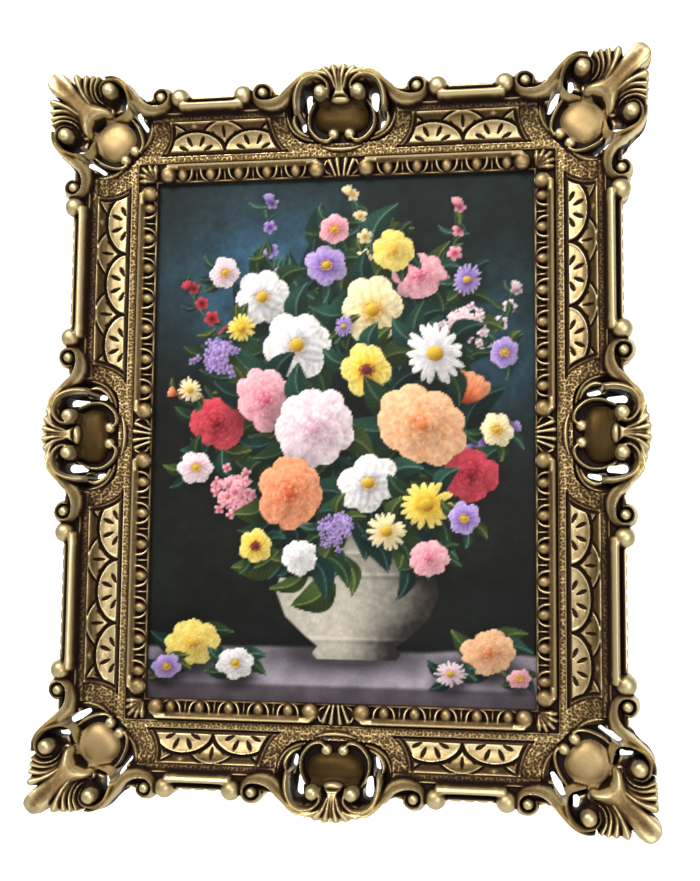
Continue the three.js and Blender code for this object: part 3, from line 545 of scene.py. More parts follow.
def draw_middle(relief, place):
    """A middle ornament: scrolls, shell, knob, arcs, fronds and shield."""
    scroll = [(9.2, 58.6), (8.9, 66.6), (14.6, 71.8), (22.8, 72.4), (29.2, 68.8), (33.0, 62.4),
              (34.4, 55.6), (34.2, 49.6)]
    for side in (1, -1):
        face = side > 0

        def mirrored(points):
            """The same places on this side of the middle."""
            return [(side * a, s) for a, s in points]

        relief.band(place, mirrored([(17, 60), (24, 66), (27, 70)]), [4, 6, 4], 22, 20)
        relief.band(place, mirrored(scroll), [1.2, 2.1, 2.6, 2.8, 3.0, 3.1, 3.2, 3.0],
                    [33, 36.8, 38.6, 39, 38.8, 37.6, 35.4, 32.6], 15, roll_profile, left=not face, steps=80)
        relief.band(place, mirrored([(35.4, 50), (36.6, 42), (32.4, 35.4), (26, 32.4)]),
                    [1.6, 2.3, 2.0, 0.9],
                    [24, 23, 21, 18], 12, roll_profile, left=not face)
        relief.ball(place, (side * 14.4, 61.3), 5.6, 37.4)
        ribs = [
            ([(1.7, 62), (2.2, 70), (4.2, 79.0)], [1.2, 1.8, 2.9], [32, 37.8, 38.6]),
            ([(2.8, 63), (5.8, 71.2), (11.2, 77.6)], [1.0, 1.8, 3.1], [32, 37.8, 38.6]),
            ([(3.8, 65), (9.0, 72.6), (18.4, 76.2)], [0.9, 1.6, 2.8], [32, 37.6, 38.4]),
            ([(9.4, 69), (17.2, 74.2), (24.6, 75.0), (30.8, 71.4), (36.0, 66.0)], [0.8, 1.3, 2.0, 2.1, 1.7],
             [35, 37.4, 39.2, 38.8, 38.2]),
        ]
        for route, halves, crests in ribs:
            relief.band(place, mirrored(route), halves, crests, [c - 5 for c in crests], round_profile)
        arc = [(17.4, 60.4), (22.6, 54.4), (25.4, 46.4), (24.4, 37.4), (18.2, 29.8), (11.2, 27.9),
               (7.2, 30.6)]
        relief.band(place, mirrored(arc), [1.0, 1.5, 1.8, 1.8, 1.8, 1.8, 1.8],
                    [23, 22.4, 21.4, 20.8, 20.6, 20.4, 19.6], 10.5)
        relief.ball(place, (side * 6.2, 33.4), 4.5, 20.6)
        frond = [(38.6, 63), (40.6, 53), (39.9, 43.6), (35.8, 36), (29, 31.4), (23, 29.6)]
        relief.band(place, mirrored(frond), [2.8, 3.0, 3.2, 3.0, 2.2, 1.2], [27, 24.6, 22.4, 20.6, 19, 17],
                    11.5, lip_profile,
                    left=face)
        relief.band(place, mirrored([(33, 51), (29.8, 49.4), (28.8, 45.4)]), [2.0, 1.8, 0.9], [22, 20, 16],
                    11.5)
        relief.band(place, mirrored([(15, 24.4), (8, 22.2), (0, 21.4)]), [0.6, 1.5, 1.8], [16, 17.8, 18.4],
                    14.2,
                    outline=False)
    half = np.array([(0, 81.2), (4.4, 81.2), (12.6, 79.6), (20.6, 77.8), (28.6, 74.6), (35.4, 67.4),
                     (30, 66), (20, 69),
                     (8, 64), (0, 62)])
    points = place(np.vstack([half, half[::-1][1:] * [-1, 1]]))
    view = window(points, 1)
    edge = inside_polygon(points, view)
    s = P[view] if place.swapped else Q[view]
    bed = np.interp(s, [62, 70, 80], [27, 33.4, 36.2]) - 2 * (1 - np.clip(edge / 1.5, 0, 1)) ** 2
    relief.raise_to(view, np.where(edge > 0, bed, NOTHING), edge)
    stem = [(6.4, 59.2), (4.4, 61.6), (3.4, 65), (4.4, 69), (4.8, 73), (1.2, 77), (0, 78)]
    half = np.array(stem)
    points = place(np.vstack([half, half[::-1][1:] * [-1, 1]]))
    view = window(points, 1)
    edge = inside_polygon(points, view)
    s = P[view] if place.swapped else Q[view]
    crown = np.interp(s, [59, 61, 66, 72, 81], [32.6, 31.6, 34.0, 36.2, 35.0])
    relief.raise_to(view, np.where(edge > 0, crown - 2.6 * (1 - np.clip(edge / 1.6, 0, 1)) ** 2, NOTHING),
                    edge)
    relief.ball(place, (0, 57.4), 6.4, 28.6, (1.25, 0.62))
    draw_shield(relief, place([(0.0, 47.6)])[0], (20.8, 12.6) if not place.swapped else (12.6, 20.8), 0,
                20.6, 2.7, -1.0)


def punch(relief):
    """Small round punch marks, packed at random."""
    cells = 1.9
    nx, nz = int(X.max() / cells) + 2, int(Z.max() / cells) + 2
    jitter = rng.random((nx, nz, 3))
    low = np.full(X.shape, 9.0)
    ci, cj = (X / cells).astype(int), (Z / cells).astype(int)
    for di in (-1, 0, 1):
        for dj in (-1, 0, 1):
            i, j = np.clip(ci + di, 0, nx - 1), np.clip(cj + dj, 0, nz - 1)
            px = (ci + di + jitter[i, j, 0]) * cells
            pz = (cj + dj + jitter[i, j, 1]) * cells
            low = np.minimum(low, np.hypot(X - px, Z - pz) / (0.6 + 0.5 * jitter[i, j, 2]))
    pits = np.exp(-low ** 2 * 1.4)
    relief.height -= 1.1 * pits * relief.stipple


def blurred(field, sigma):
    """Gaussian blur, in grid steps, that mirrors at the edges."""
    reach = int(3 * sigma) + 1
    kernel = np.exp(-0.5 * (np.arange(-reach, reach + 1) / sigma) ** 2)
    kernel /= kernel.sum()
    for axis in (0, 1):
        padded = np.pad(field, [(reach, reach) if k == axis else (0, 0) for k in (0, 1)], mode="symmetric")
        total = np.zeros_like(field)
        for k, weight in enumerate(kernel):
            cut = [slice(None), slice(None)]
            cut[axis] = slice(k, k + field.shape[axis])
            total += weight * padded[tuple(cut)]
        field = total
    return field


def carve():
    """All the carving of one quarter, in the order in which it overlaps."""
    relief = Relief()
    corner_rim, middle_rim = rim_distances()
    end = draw_mouldings(relief, corner_rim, middle_rim)
    relief.base = relief.height.copy()
    draw_grounds(relief)
    for place in (TOP, SIDE):
        draw_fans(relief, place, end)
    punch(relief)
    for place in (TOP, SIDE):
        draw_sight_band(relief, place)
        draw_outer_bar(relief, place)
        draw_s_scroll(relief, place, (VOLUTE_MIDDLE, BALL_LINE + 0.6), -1, MIDDLE_TAIL,
                      [3.0, 2.4, 1.8, 1.2])
        draw_s_scroll(relief, place, (place.reach - VOLUTE_CORNER, BALL_LINE + 0.6), 1, CORNER_TAIL,
                      [3.2, 2.6, 1.9, 1.2])
        draw_middle(relief, place)
    draw_small_palmettes(relief)
    for place in (CORNER, CORNER_LOW):
        draw_corner(relief, place)
    draw_leaf(relief)
    draw_shield(relief, CORNER(diagonal([(-2.0, 0)]))[0], (16.0, 16.6), math.pi / 4, 18.4, 2.5, 1.0)
    for place in (TOP, SIDE):
        relief.pierce(place, [(25.6, 53.6), (25.4, 63.2)], [2.3, 3.4])
        relief.pierce(place, [(30.2, 39.6), (31.4, 46)], [2.0, 2.6])
    for place in (CORNER, CORNER_LOW):
        relief.pierce(place, diagonal([(-14, 24), (-7, 26.2), (0, 28)]), [1.8, 3.0, 2.4])
        relief.pierce(place, [(27.8, 60.4), (27.4, 65.2)], [2.6, 2.2])
    relief.inside = np.minimum(relief.inside, OUT)
    relief.inside = np.minimum(relief.inside, np.minimum(HALF_X - INSET - X, HALF_Z - INSET - Z))
    return relief


# ---- from the drawn heights to closed meshes ----
def back_height(x, z):
    """How far the back stands off the wall: rabbet, flat back, hollowed ornaments."""
    out = np.maximum(x - SIGHT_X, z - SIGHT_Z)
    plain = np.interp(out, [50, 54.5, 64, 82], [0, 8, 10, 22])
    return np.where((x < RABBET_X) & (z < RABBET_Z), RABBET_DEPTH, plain)


def clipped_sheet(relief):
    """Triangles of the grid inside the outline, cut along it."""
    n, m = X.shape
    index = np.arange(n * m).reshape(n, m)
    a, b, c, d = index[:-1, :-1], index[1:, :-1], index[1:, 1:], index[:-1, 1:]
    odd = (np.add.outer(np.arange(n - 1), np.arange(m - 1)) % 2).astype(bool)
    first = np.where(odd[..., None], np.stack([a, b, c], -1), np.stack([a, b, d], -1)).reshape(-1, 3)
    other = np.where(odd[..., None], np.stack([a, c, d], -1), np.stack([b, c, d], -1)).reshape(-1, 3)
    faces = np.vstack([first, other])
    value = relief.inside.ravel().copy()
    value[np.abs(value) < 0.02] = 0.02
    inside = value > 0
    count = inside[faces].sum(1)
    whole = faces[count == 3]
    mixed = faces[(count == 1) | (count == 2)]
    # Turn each mixed triangle so that its odd corner comes first.
    flags = inside[mixed]
    lone = np.where(flags.sum(1) == 1, flags.argmax(1), (~flags).argmax(1))
    rows = np.arange(len(mixed))
    turned = np.stack([mixed[rows, (lone + k) % 3] for k in range(3)], 1)
    edges = np.vstack([turned[:, [0, 1]], turned[:, [0, 2]]])
    keys = np.sort(edges, 1)
    unique, inverse = np.unique(keys, axis=0, return_inverse=True)
    inverse = inverse.ravel()
    t = value[unique[:, 0]] / (value[unique[:, 0]] - value[unique[:, 1]])
    fields = []
    for field in (X, Z, relief.height):
        flat = field.ravel()
        fields.append(np.concatenate([flat, flat[unique[:, 0]] * (1 - t) + flat[unique[:, 1]] * t]))
    # A cut edge takes the height of its inner end, so that walls stay upright.
    inner = np.where(inside[unique[:, 0]], unique[:, 0], unique[:, 1])
    fields[2][n * m:] = relief.height.ravel()[inner]
    on01 = inverse[:len(turned)] + n * m
    on02 = inverse[len(turned):] + n * m
    alone = inside[turned[:, 0]]
    tips = np.column_stack([turned[:, 0], on01, on02])[alone]
    quads = ~alone
    left = np.column_stack([on01, turned[:, 1], turned[:, 2]])[quads]
    right = np.column_stack([on01, turned[:, 2], on02])[quads]
    faces = np.vstack([whole, tips, left, right])
    used, faces = np.unique(faces, return_inverse=True)
    return [field[used] for field in fields], faces.reshape(-1, 3)


def closed_quarter(relief):
    """Front sheet, back sheet and the walls between them."""
    (x, z, height), faces = clipped_sheet(relief)
    low = np.minimum(back_height(x, z), height - THINNEST)
    count = len(x)
    edges = np.vstack([faces[:, [0, 1]], faces[:, [1, 2]], faces[:, [2, 0]]])
    keys = edges[:, 0].astype(np.int64) * count + edges[:, 1]
    reverse = edges[:, 1].astype(np.int64) * count + edges[:, 0]
    border = edges[~np.isin(keys, reverse)]
    walls = np.vstack([
        np.column_stack([border[:, 1], border[:, 0], border[:, 0] + count]),
        np.column_stack([border[:, 1], border[:, 0] + count, border[:, 1] + count]),
    ])
    vertices = np.column_stack([np.tile(x, 2), np.concatenate([-height, -low]), np.tile(z, 2)])
    all_faces = np.vstack([faces, faces[:, ::-1] + count, walls])
    return vertices, all_faces


def mesh_from(name, vertices, faces):
    """A mesh from numbered points and triangles."""
    mesh = bpy.data.meshes.new(name)
    mesh.vertices.add(len(vertices))
    mesh.vertices.foreach_set("co", np.asarray(vertices, np.float32).ravel())
    mesh.loops.add(len(faces) * 3)
    mesh.loops.foreach_set("vertex_index", np.asarray(faces, np.int32).ravel())
    mesh.polygons.add(len(faces))
    mesh.polygons.foreach_set("loop_start", np.arange(0, len(faces) * 3, 3, dtype=np.int32))
    mesh.update(calc_edges=True)
    mesh.validate()
    return mesh


def sampled(field, x, z):
    """A grid field read between its points."""
    u, v = np.clip(x / GRID, 0, X.shape[0] - 1.001), np.clip(z / GRID, 0, X.shape[1] - 1.001)
    i, j = u.astype(int), v.astype(int)
    fu, fv = u - i, v - j
    return ((1 - fu) * (1 - fv) * field[i, j] + fu * (1 - fv) * field[i + 1, j]
            + (1 - fu) * fv * field[i, j + 1] + fu * fv * field[i + 1, j + 1])


def decimated(vertices, faces, triangles):
    """The same surface with fewer triangles."""
    mesh = mesh_from("quarter", vertices, faces)
    piece = bpy.data.objects.new("quarter", mesh)
    bpy.context.collection.objects.link(piece)
    thin = piece.modifiers.new("thin", "DECIMATE")
    thin.ratio = min(1.0, triangles / len(faces))
    thin.use_collapse_triangulate = True
    bpy.context.view_layer.update()
    result = piece.evaluated_get(bpy.context.evaluated_depsgraph_get()).to_mesh()
    places = np.empty(len(result.vertices) * 3, np.float32)
    result.vertices.foreach_get("co", places)
    corners = np.empty(len(result.loops), np.int32)
    result.loops.foreach_get("vertex_index", corners)
    bpy.data.objects.remove(piece)
    bpy.data.meshes.remove(mesh)
    return places.reshape(-1, 3).astype(float), corners.reshape(-1, 3)


# ---- materials ----
def linear(hex_colour):
    """sRGB hex to the linear colour that a shader takes."""
    channels = [int(hex_colour[k:k + 2], 16) / 255 for k in (1, 3, 5)]
    return [c / 12.92 if c <= 0.04045 else ((c + 0.055) / 1.055) ** 2.4 for c in channels] + [1.0]


def add_node(tree, kind, settings=None, **inputs):
    """Add a node; inputs are values, or (node, output) links."""
    node = tree.nodes.new(kind)
    for key, value in (settings or {}).items():
        setattr(node, key, value)
    for key, value in inputs.items():
        socket = node.inputs[int(key[1:])] if key[0] == "i" and key[1:].isdigit() else node.inputs[key.replace("_", " ")]
        if isinstance(value, tuple) and hasattr(value[0], "outputs"):
            tree.links.new(value[0].outputs[value[1]], socket)
        else:
            socket.default_value = value
    return node


def new_material(name):
    """An empty material to build on."""
    material = bpy.data.materials.new(name)
    material.use_nodes = True
    tree = material.node_tree
    tree.nodes.clear()
    return material, tree


def antiqued_gold():
    """Moulded resin, gilt paint rubbed over a dark umber ground: bright crests, brown hollows, satin. Its relief
    value also carries painted shade on steep faces and along edges.
    """
    material, tree = new_material("antiqued_gold_moulded_resin")
    place = add_node(tree, "ShaderNodeTexCoord")
    relief = add_node(tree, "ShaderNodeAttribute", {"attribute_name": "relief"})
    bare = add_node(tree, "ShaderNodeAttribute", {"attribute_name": "bare"})
    sombre = add_node(tree, "ShaderNodeAttribute", {"attribute_name": "sombre"})
    cloud = add_node(tree, "ShaderNodeTexNoise", Vector=(place, "Object"), Scale=55.0, Detail=5.0,
                     Roughness=0.6)
    fine = add_node(tree, "ShaderNodeTexNoise", Vector=(place, "Object"), Scale=420.0, Detail=3.0)
    wear_and_painted_shade = add_node(tree, "ShaderNodeMath", {"operation": "MULTIPLY_ADD"}, i0=(cloud, "Fac"), i1=0.22,
                    i2=(relief, "Fac"))
    wear_and_painted_shade = add_node(tree, "ShaderNodeMath", {"operation": "MULTIPLY_ADD"}, i0=(fine, "Fac"), i1=0.16,
                    i2=(wear_and_painted_shade, 0))
    ramp = add_node(tree, "ShaderNodeValToRGB", Fac=(wear_and_painted_shade, 0))
    stops = [(0.38, "#1A0B05"), (0.52, "#2C1A0F"), (0.63, "#463421"), (0.74, "#6B5638"), (0.85, "#967F55"),
             (0.95, "#BCA67A"),
             (1.0, "#D2C193")]
    ramp.color_ramp.elements[0].position, ramp.color_ramp.elements[0].color = stops[0][0], linear(stops[0][1])
    ramp.color_ramp.elements[1].position, ramp.color_ramp.elements[1].color = stops[-1][0], linear(stops[-1][1])
    for position, colour in stops[1:-1]:
        ramp.color_ramp.elements.new(position).color = linear(colour)
    rubbed = add_node(tree, "ShaderNodeMix", {"data_type": "RGBA"}, Factor=(cloud, "Fac"),
                      A=linear("#8A7048"), B=linear("#CDB483"))
    tarnish = add_node(tree, "ShaderNodeMix", {"data_type": "RGBA"}, Factor=(cloud, "Fac"),
                       A=linear("#2E200D"), B=linear("#5A4726"))
    first = add_node(tree, "ShaderNodeMix", {"data_type": "RGBA"}, Factor=(bare, "Fac"), A=(ramp, "Color"),
                     B=(rubbed, "Result"))
    colour = add_node(tree, "ShaderNodeMix", {"data_type": "RGBA"}, Factor=(sombre, "Fac"),
                      A=(first, "Result"),
                      B=(tarnish, "Result"))
    metal = add_node(tree, "ShaderNodeMapRange", Value=(wear_and_painted_shade, 0), i1=0.5, i2=0.72, i3=0.1, i4=0.85)
    rough = add_node(tree, "ShaderNodeMapRange", Value=(wear_and_painted_shade, 0), i1=0.5, i2=1.0, i3=0.7, i4=0.42)
    bump = add_node(tree, "ShaderNodeBump", Height=(fine, "Fac"), Strength=0.15, Distance=0.0006)
    shader = add_node(tree, "ShaderNodeBsdfPrincipled", Base_Color=(colour, "Result"), Metallic=(metal, 0),
                      Roughness=(rough, 0), Specular_IOR_Level=0.2, Normal=(bump, 0))
    add_node(tree, "ShaderNodeOutputMaterial", Surface=(shader, 0))
    return material


def plain_material(name, colour, roughness, metallic=0.0, grain=300.0):
    """Two close colours in a mottle of the given grain."""
    material, tree = new_material(name)
    place = add_node(tree, "ShaderNodeTexCoord")
    noise = add_node(tree, "ShaderNodeTexNoise", Vector=(place, "Object"), Scale=grain, Detail=4.0)
    mix = add_node(tree, "ShaderNodeMix", {"data_type": "RGBA"}, Factor=(noise, "Fac"), A=linear(colour[0]),
                   B=linear(colour[1]))
    shader = add_node(tree, "ShaderNodeBsdfPrincipled", Base_Color=(mix, "Result"), Roughness=roughness,
                      Metallic=metallic)
    add_node(tree, "ShaderNodeOutputMaterial", Surface=(shader, 0))
    return material


# ---- pieces ----
def relief_tone(relief):
    """Blurred heights, near and far, which the patina settles by, and the steepness, which darkens slopes with
    dark wash and painted shade.
    """
    solid = np.clip(np.where(relief.inside > -0.5, relief.height, GROUND), GROUND - 2, 45)
    near, far = blurred(solid, 1.2 / GRID), blurred(solid, 4.0 / GRID)
    steep = np.hypot(*np.gradient(blurred(solid, 0.5 / GRID), GRID))
    # Steep faces turned away from the front are darker: partly the dark wash on slopes, partly painted shade.
    shade = 0.30 * (1 - 1 / np.sqrt(1 + steep ** 2)) + grime(relief)
    return near, far, shade - rubbing_and_edge_shade(relief)


def rubbing_and_edge_shade(relief):
    """The panel's raised faces are rubbed bright; what is cut below them keeps its wash. Along the outline and
    round the piercings a painted shade darkens the edges.
    """
    rise = relief.height - relief.base
    panel = (OUT > 22.4) & (OUT < 45.4) & (rise < 3.4)
    bright = 0.13 * np.clip((rise - 0.4) / 0.9, -1, 1) * panel + 0.12 * relief.stipple
    # Painted shade: a dark band just inside the outer edges and the edges of the piercings.
    rim = 0.20 * np.clip(1 - relief.inside / 1.7, 0, 1) * (relief.inside > -1)
    return blurred(bright - rim, 0.3 / GRID)


def grime(relief):
    """Where the dark wash is left: the sight trough, the outer channel and the strip outside the bars."""
    trough = (OUT > 2.0) & (OUT < 9.0)
    channel = (OUT > 45.8) & (OUT < 50.4)
    outer = (OUT > 58.4) & (relief.height < 30.5)
    dark = 0.10 * trough + 0.10 * channel + 0.16 * outer
    return blurred(np.where(relief.height < 31, dark, 0), 0.4 / GRID)


def build_frame():
    """The carving's four mirrored quarters, with the values that their patina and painted shade go by."""
    relief = carve()
    solid = np.clip(relief.height, 8, 45)
    fine, soft = blurred(solid, 0.26 / GRID), blurred(solid, 0.62 / GRID)
    slope = np.hypot(*np.gradient(soft, GRID))
    tall = np.clip(slope / 2.2 - 0.8, 0, 1)
    relief.height = np.where(relief.inside > -2, fine * (1 - tall) + soft * tall, relief.height)
    relief.height = np.minimum(relief.height, -frame_low[1] - INSET)
    vertices, faces = closed_quarter(relief)
    vertices, faces = decimated(vertices, faces, QUARTER_TRIANGLES)
    near, far, shade = relief_tone(relief)
    x, z = vertices[:, 0], vertices[:, 2]
    height = -vertices[:, 1]
    # Patina from the heights, less painted shade on steep faces and at the edges.
    lift = 0.58 + 0.24 * (height - sampled(near, x, z)) + 0.06 * (height
                                                                  - sampled(far, x, z)) - sampled(shade, x, z)
    behind = height < back_height(np.abs(x), np.abs(z)) + 0.6
    lift = np.where(behind, BACK_PATINA, lift)
    tone = np.where(behind, 0.0, sampled(relief.tone, x, z))
    gold = antiqued_gold()
    for name, sx, sz in (("upper_right", 1, 1), ("upper_left", -1, 1), ("lower_left", -1, -1),
                         ("lower_right", 1, -1)):
        places = vertices * [sx, 1, sz] + [CENTRE_X, 0, CENTRE_Z]
        turned = faces if sx * sz > 0 else faces[:, ::-1]
        mesh = mesh_from(f"frame_carving_{name}", places * MM, turned)
        for key, values in (("relief", lift), ("bare", tone), ("sombre", -tone)):
            attribute = mesh.attributes.new(key, "FLOAT", "POINT")
            attribute.data.foreach_set("value", np.clip(values, 0, 1).astype(np.float32))
        mesh.shade_smooth()
        mesh.set_sharp_from_angle(angle=math.radians(SHARP_ANGLE))
        mesh.materials.append(gold)
        piece = bpy.data.objects.new(mesh.name, mesh)
        bpy.context.collection.objects.link(piece)
        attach(piece, "root")
        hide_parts("frame")


def dress_back():
    """The backing board, the toothed hanger and the tabs keep their shapes and get their own materials."""
    # Brown fibre with a coarse mottle, quite dull.
    board = plain_material("hardboard_pressed_fibre", ("#5E4630", "#8A6C4A"), 0.85, 0.0, 160.0)
    # Cool grey metal with broad, faint spangle and a soft sheen.
    steel = plain_material("zinc_plated_steel_pressed", ("#8E9296", "#BFC3C6"), 0.38, 0.9, 60.0)
    for name in ("backing_board", "hanger", "retaining_tab_top", "retaining_tab_bottom",
                 "retaining_tab_left",
                 "retaining_tab_right"):
        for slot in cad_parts[name].material_slots:
            slot.material = board if name == "backing_board" else steel


# ---- the painting: a bouquet in a jar, laid down petal by petal on a fine net of points ----
PAINT_NET = (271, 361)
CLOTH_LIGHT = math.radians(125)


class Canvas:
    """Colours at the points of a net over the panel's face, in millimetres from its middle."""

    def __init__(self):
        width, height = picture_high[0] - picture_low[0], picture_high[2] - picture_low[2]
        self.x, self.z = np.meshgrid(np.linspace(-width / 2, width / 2, PAINT_NET[0]),
                                     np.linspace(-height / 2, height / 2, PAINT_NET[1]), indexing="ij")
        self.step = width / (PAINT_NET[0] - 1), height / (PAINT_NET[1] - 1)
        self.colour = np.zeros(self.x.shape + (3,))
        self.cloud = [self.noise(reach) for reach in (1.2, 3.5, 12, 36)]

    def noise(self, reach):
        """Cloudy noise of the given reach, evened to one strength."""
        field = blurred(rng.standard_normal(self.x.shape), reach)
        return field / field.std()

    def window(self, x, z, reach):
        """Net points round a place."""
        i, j = (x - self.x[0, 0]) / self.step[0], (z - self.z[0, 0]) / self.step[1]
        ri, rj = reach / self.step[0] + 2, reach / self.step[1] + 2
        return (slice(max(int(i - ri), 0), max(int(i + ri), 0)),
                slice(max(int(j - rj), 0), max(int(j + rj), 0)))

    def lay(self, view, cover, colour):
        """Lay a colour on, by how far it covers."""
        cover = np.clip(cover, 0, 1)[..., None]
        self.colour[view] = self.colour[view] * (1 - cover) + np.asarray(colour) * cover

    def shade(self, x, z, reach, depth, squash=1.0):
        """A soft shadow that sets what comes next off from what lies behind it."""
        view = self.window(x, z, reach * 1.6)
        d = np.hypot(self.x[view] - x, (self.z[view] - z) / squash) / reach
        self.colour[view] *= 1 - depth * np.clip(1.5 - d, 0, 1)[..., None] ** 1.5


def rgb(hex_colour):
    """Red, green and blue from hex, each 0 to 1."""
    return np.array([int(hex_colour[k:k + 2], 16) / 255 for k in (1, 3, 5)])


def mixed(a, b, t):
    """Two colours blended."""
    t = np.asarray(t)[..., None]
    return a * (1 - t) + b * t


def petal(canvas, x, z, turn, length, width, shades, tilt=(0.0, 1.0), blunt=0.5, streak=0.05):
    """One petal from its foot at (x, z): darker at the foot, streaked along, with a light rim."""
    view = canvas.window(x, z, length * 1.1)
    dx, dz = canvas.x[view] - x, canvas.z[view] - z
    if dx.size == 0:
        return
    lean, squash = tilt
    a, b = dx * math.cos(lean) + dz * math.sin(lean), (dz * math.cos(lean) - dx * math.sin(lean)) / squash
    turn = turn - lean
    along = (a * math.cos(turn) + b * math.sin(turn)) / length
    across = (b * math.cos(turn) - a * math.sin(turn)) / width
    t = np.clip(along, 0, 1)
    half = np.sqrt(np.clip(t ** blunt * (1 - t ** 4), 1e-6, 1))
    edge = 1 - np.abs(across) / half
    cover = np.clip(edge * width / 1.1 + 0.2, 0, 1) * (along > 0) * (along < 1.02)
    dark, mid, light = shades
    tone = mixed(dark, mid, np.clip(t * 2.2, 0, 1))
    tone = mixed(tone, light, np.clip(t * 1.6 - 0.6, 0, 1) * 0.8)
    ribs = np.sin(across / half * 9 + canvas.cloud[1][view]) * streak
    sun = 0.5 + 0.5 * math.cos(turn + lean - CLOTH_LIGHT)
    side = 0.10 * (across / half) * math.sin(CLOTH_LIGHT - turn - lean)
    rim = np.exp(-(edge * width / 1.0) ** 2) * 0.35 * np.clip(t * 2, 0, 1)
    gain = (0.80 + 0.24 * sun + side + ribs + 0.03 * canvas.cloud[0][view])[..., None]
    tone = mixed(tone * gain, light, np.clip(rim, 0, 1))
    canvas.lay(view, cover, np.clip(tone, 0, 1))


def dot(canvas, x, z, radius, shades, squash=1.0):
    """A round touch of paint, lit from the upper left."""
    view = canvas.window(x, z, radius * 1.5)
    dx, dz = (canvas.x[view] - x) / radius, (canvas.z[view] - z) / radius / squash
    d = np.hypot(dx, dz)
    glow = np.clip(0.55 - 0.5 * dx * 0.6 + 0.5 * dz, 0, 1)
    tone = mixed(shades[0], shades[-1], glow)
    canvas.lay(view, np.clip((1 - d) * radius / 0.9 + 0.3, 0, 1), tone)


def full_bloom(canvas, x, z, radius, shades, tilt, rings=6):
    """Many-petalled round bloom, whorl on whorl towards a closed heart."""
    canvas.shade(x, z - radius * 0.15, radius * 1.05, 0.62)
    for ring in range(rings):
        share = 1 - ring / (rings + 0.4)
        count = max(4, int(4.5 + 5 * share))
        start = rng.random() * 6.28
        deeper = mixed(shades[1], shades[0], (1 - share) * 0.55)
        for k in rng.permutation(count):
            turn = start + k * 2 * math.pi / count + rng.normal() * 0.12
            off = radius * share * 0.18
            petal(canvas, x + off * math.cos(turn), z + off * math.sin(turn) * tilt[1], turn,
                  radius * share * (0.84 + 0.12 * rng.random()),
                  radius * share * (0.44 + 0.1 * rng.random()),
                  (mixed(shades[0], shades[1], 0.2 * share), deeper, shades[2]), tilt, 0.45, 0.035)
    dot(canvas, x, z, radius * 0.13, (shades[0], shades[1]), tilt[1])


def open_bloom(canvas, x, z, radius, shades, tilt, heart, count=6, width=0.52):
    """Single bloom of broad petals round a small golden heart."""
    canvas.shade(x, z - radius * 0.1, radius, 0.55)
    start = rng.random() * 6.28
    for layer, share in ((0, 1.0), (1, 0.86)):
        for k in rng.permutation(count):
            turn = start + (k + layer * 0.5) * 2 * math.pi / count + rng.normal() * 0.08
            petal(canvas, x, z, turn, radius * share * (0.92 + 0.12 * rng.random()), radius * width * share,
                  shades, tilt,
                  0.5, 0.06)
    dot(canvas, x, z, radius * 0.2, heart, tilt[1])
    for k in range(14):
        turn, far = k * 2 * math.pi / 14 + rng.random() * 0.3, radius * (0.22 + 0.07 * rng.random())
        dot(canvas, x + far * math.cos(turn), z + far * math.sin(turn) * tilt[1], 0.9,
            (heart[0], heart[1] * 1.05))


def rayed_bloom(canvas, x, z, radius, shades, tilt, heart):
    """Daisy: narrow rays round a button."""
    canvas.shade(x, z - radius * 0.1, radius, 0.5)
    for k in rng.permutation(18):
        turn = k * 2 * math.pi / 18 + rng.normal() * 0.06
        petal(canvas, x, z, turn, radius * (0.9 + 0.12 * rng.random()), radius * 0.17, shades, tilt, 0.6,
              0.03)
    dot(canvas, x, z, radius * 0.27, heart, tilt[1])


def cup_bloom(canvas, x, z, radius, shades, turn):
    """Tulip seen from the side, on a short stalk."""
    canvas.shade(x, z, radius * 0.8, 0.4)
    for lean, wide, tone in ((-0.5, 0.36, 0.6), (0.5, 0.36, 0.8), (-0.16, 0.4, 0.95), (0.2, 0.36, 1.0)):
        petal(canvas, x - radius * 0.5 * math.cos(turn), z - radius * 0.5 * math.sin(turn), turn + lean,
              radius * 1.15,
              radius * wide, tuple(np.asarray(c) * (0.7 + 0.3 * tone) for c in shades), (0, 1), 0.75, 0.06)


def blossom_head(canvas, x, z, radius, shades, heart):
    """Domed head of many small four-petalled florets."""
    canvas.shade(x, z - radius * 0.2, radius, 0.55)
    spots = rng.normal(size=(46, 2)) * radius * 0.42
    for dx, dz in spots[np.argsort(-np.hypot(*spots.T))]:
        size = radius * (0.24 - 0.05 * math.hypot(dx, dz) / radius)
        start = rng.random() * 1.57
        for k in range(4):
            petal(canvas, x + dx, z + dz, start + k * math.pi / 2, size, size * 0.55, shades, (0, 1), 0.5,
                  0.02)
        dot(canvas, x + dx, z + dz, size * 0.2, heart)


def leaf(canvas, x, z, turn, length, width, shades):
    """Pointed leaf with a pale midrib and side veins."""
    view = canvas.window(x, z, length * 1.05)
    dx, dz = canvas.x[view] - x, canvas.z[view] - z
    if dx.size == 0:
        return
    along = (dx * math.cos(turn) + dz * math.sin(turn)) / length
    bend = 0.16 * np.sin(np.clip(along, 0, 1) * math.pi) * length
    across = (dz * math.cos(turn) - dx * math.sin(turn) - bend) / width
    t = np.clip(along, 0, 1)
    half = np.clip(np.sin(np.pi * t ** 0.75), 1e-3, 1) ** 0.85
    edge = 1 - np.abs(across) / half
    cover = np.clip(edge * width / 1.0 + 0.15, 0, 1) * (along > 0) * (along < 1)
    lit = 0.5 + 0.5 * np.sign(across) * math.sin(CLOTH_LIGHT - turn)
    veins = 0.5 + 0.5 * np.sin((t * 9 - np.abs(across) * 2.2) * 2 * np.pi)
    tone = mixed(shades[0], shades[1], np.clip(0.15 + 0.55 * lit + 0.18 * veins
                                               + 0.08 * canvas.cloud[1][view], 0, 1))
    tone = mixed(tone, shades[2], np.exp(-(across * width / 0.7) ** 2) * 0.6)
    canvas.lay(view, cover, tone)


def stem(canvas, points, thickness, shades):
    """A stalk, laid down as touching dots."""
    path = smooth_path(points, 40)
    for x, z in path:
        dot(canvas, x, z, thickness, shades)


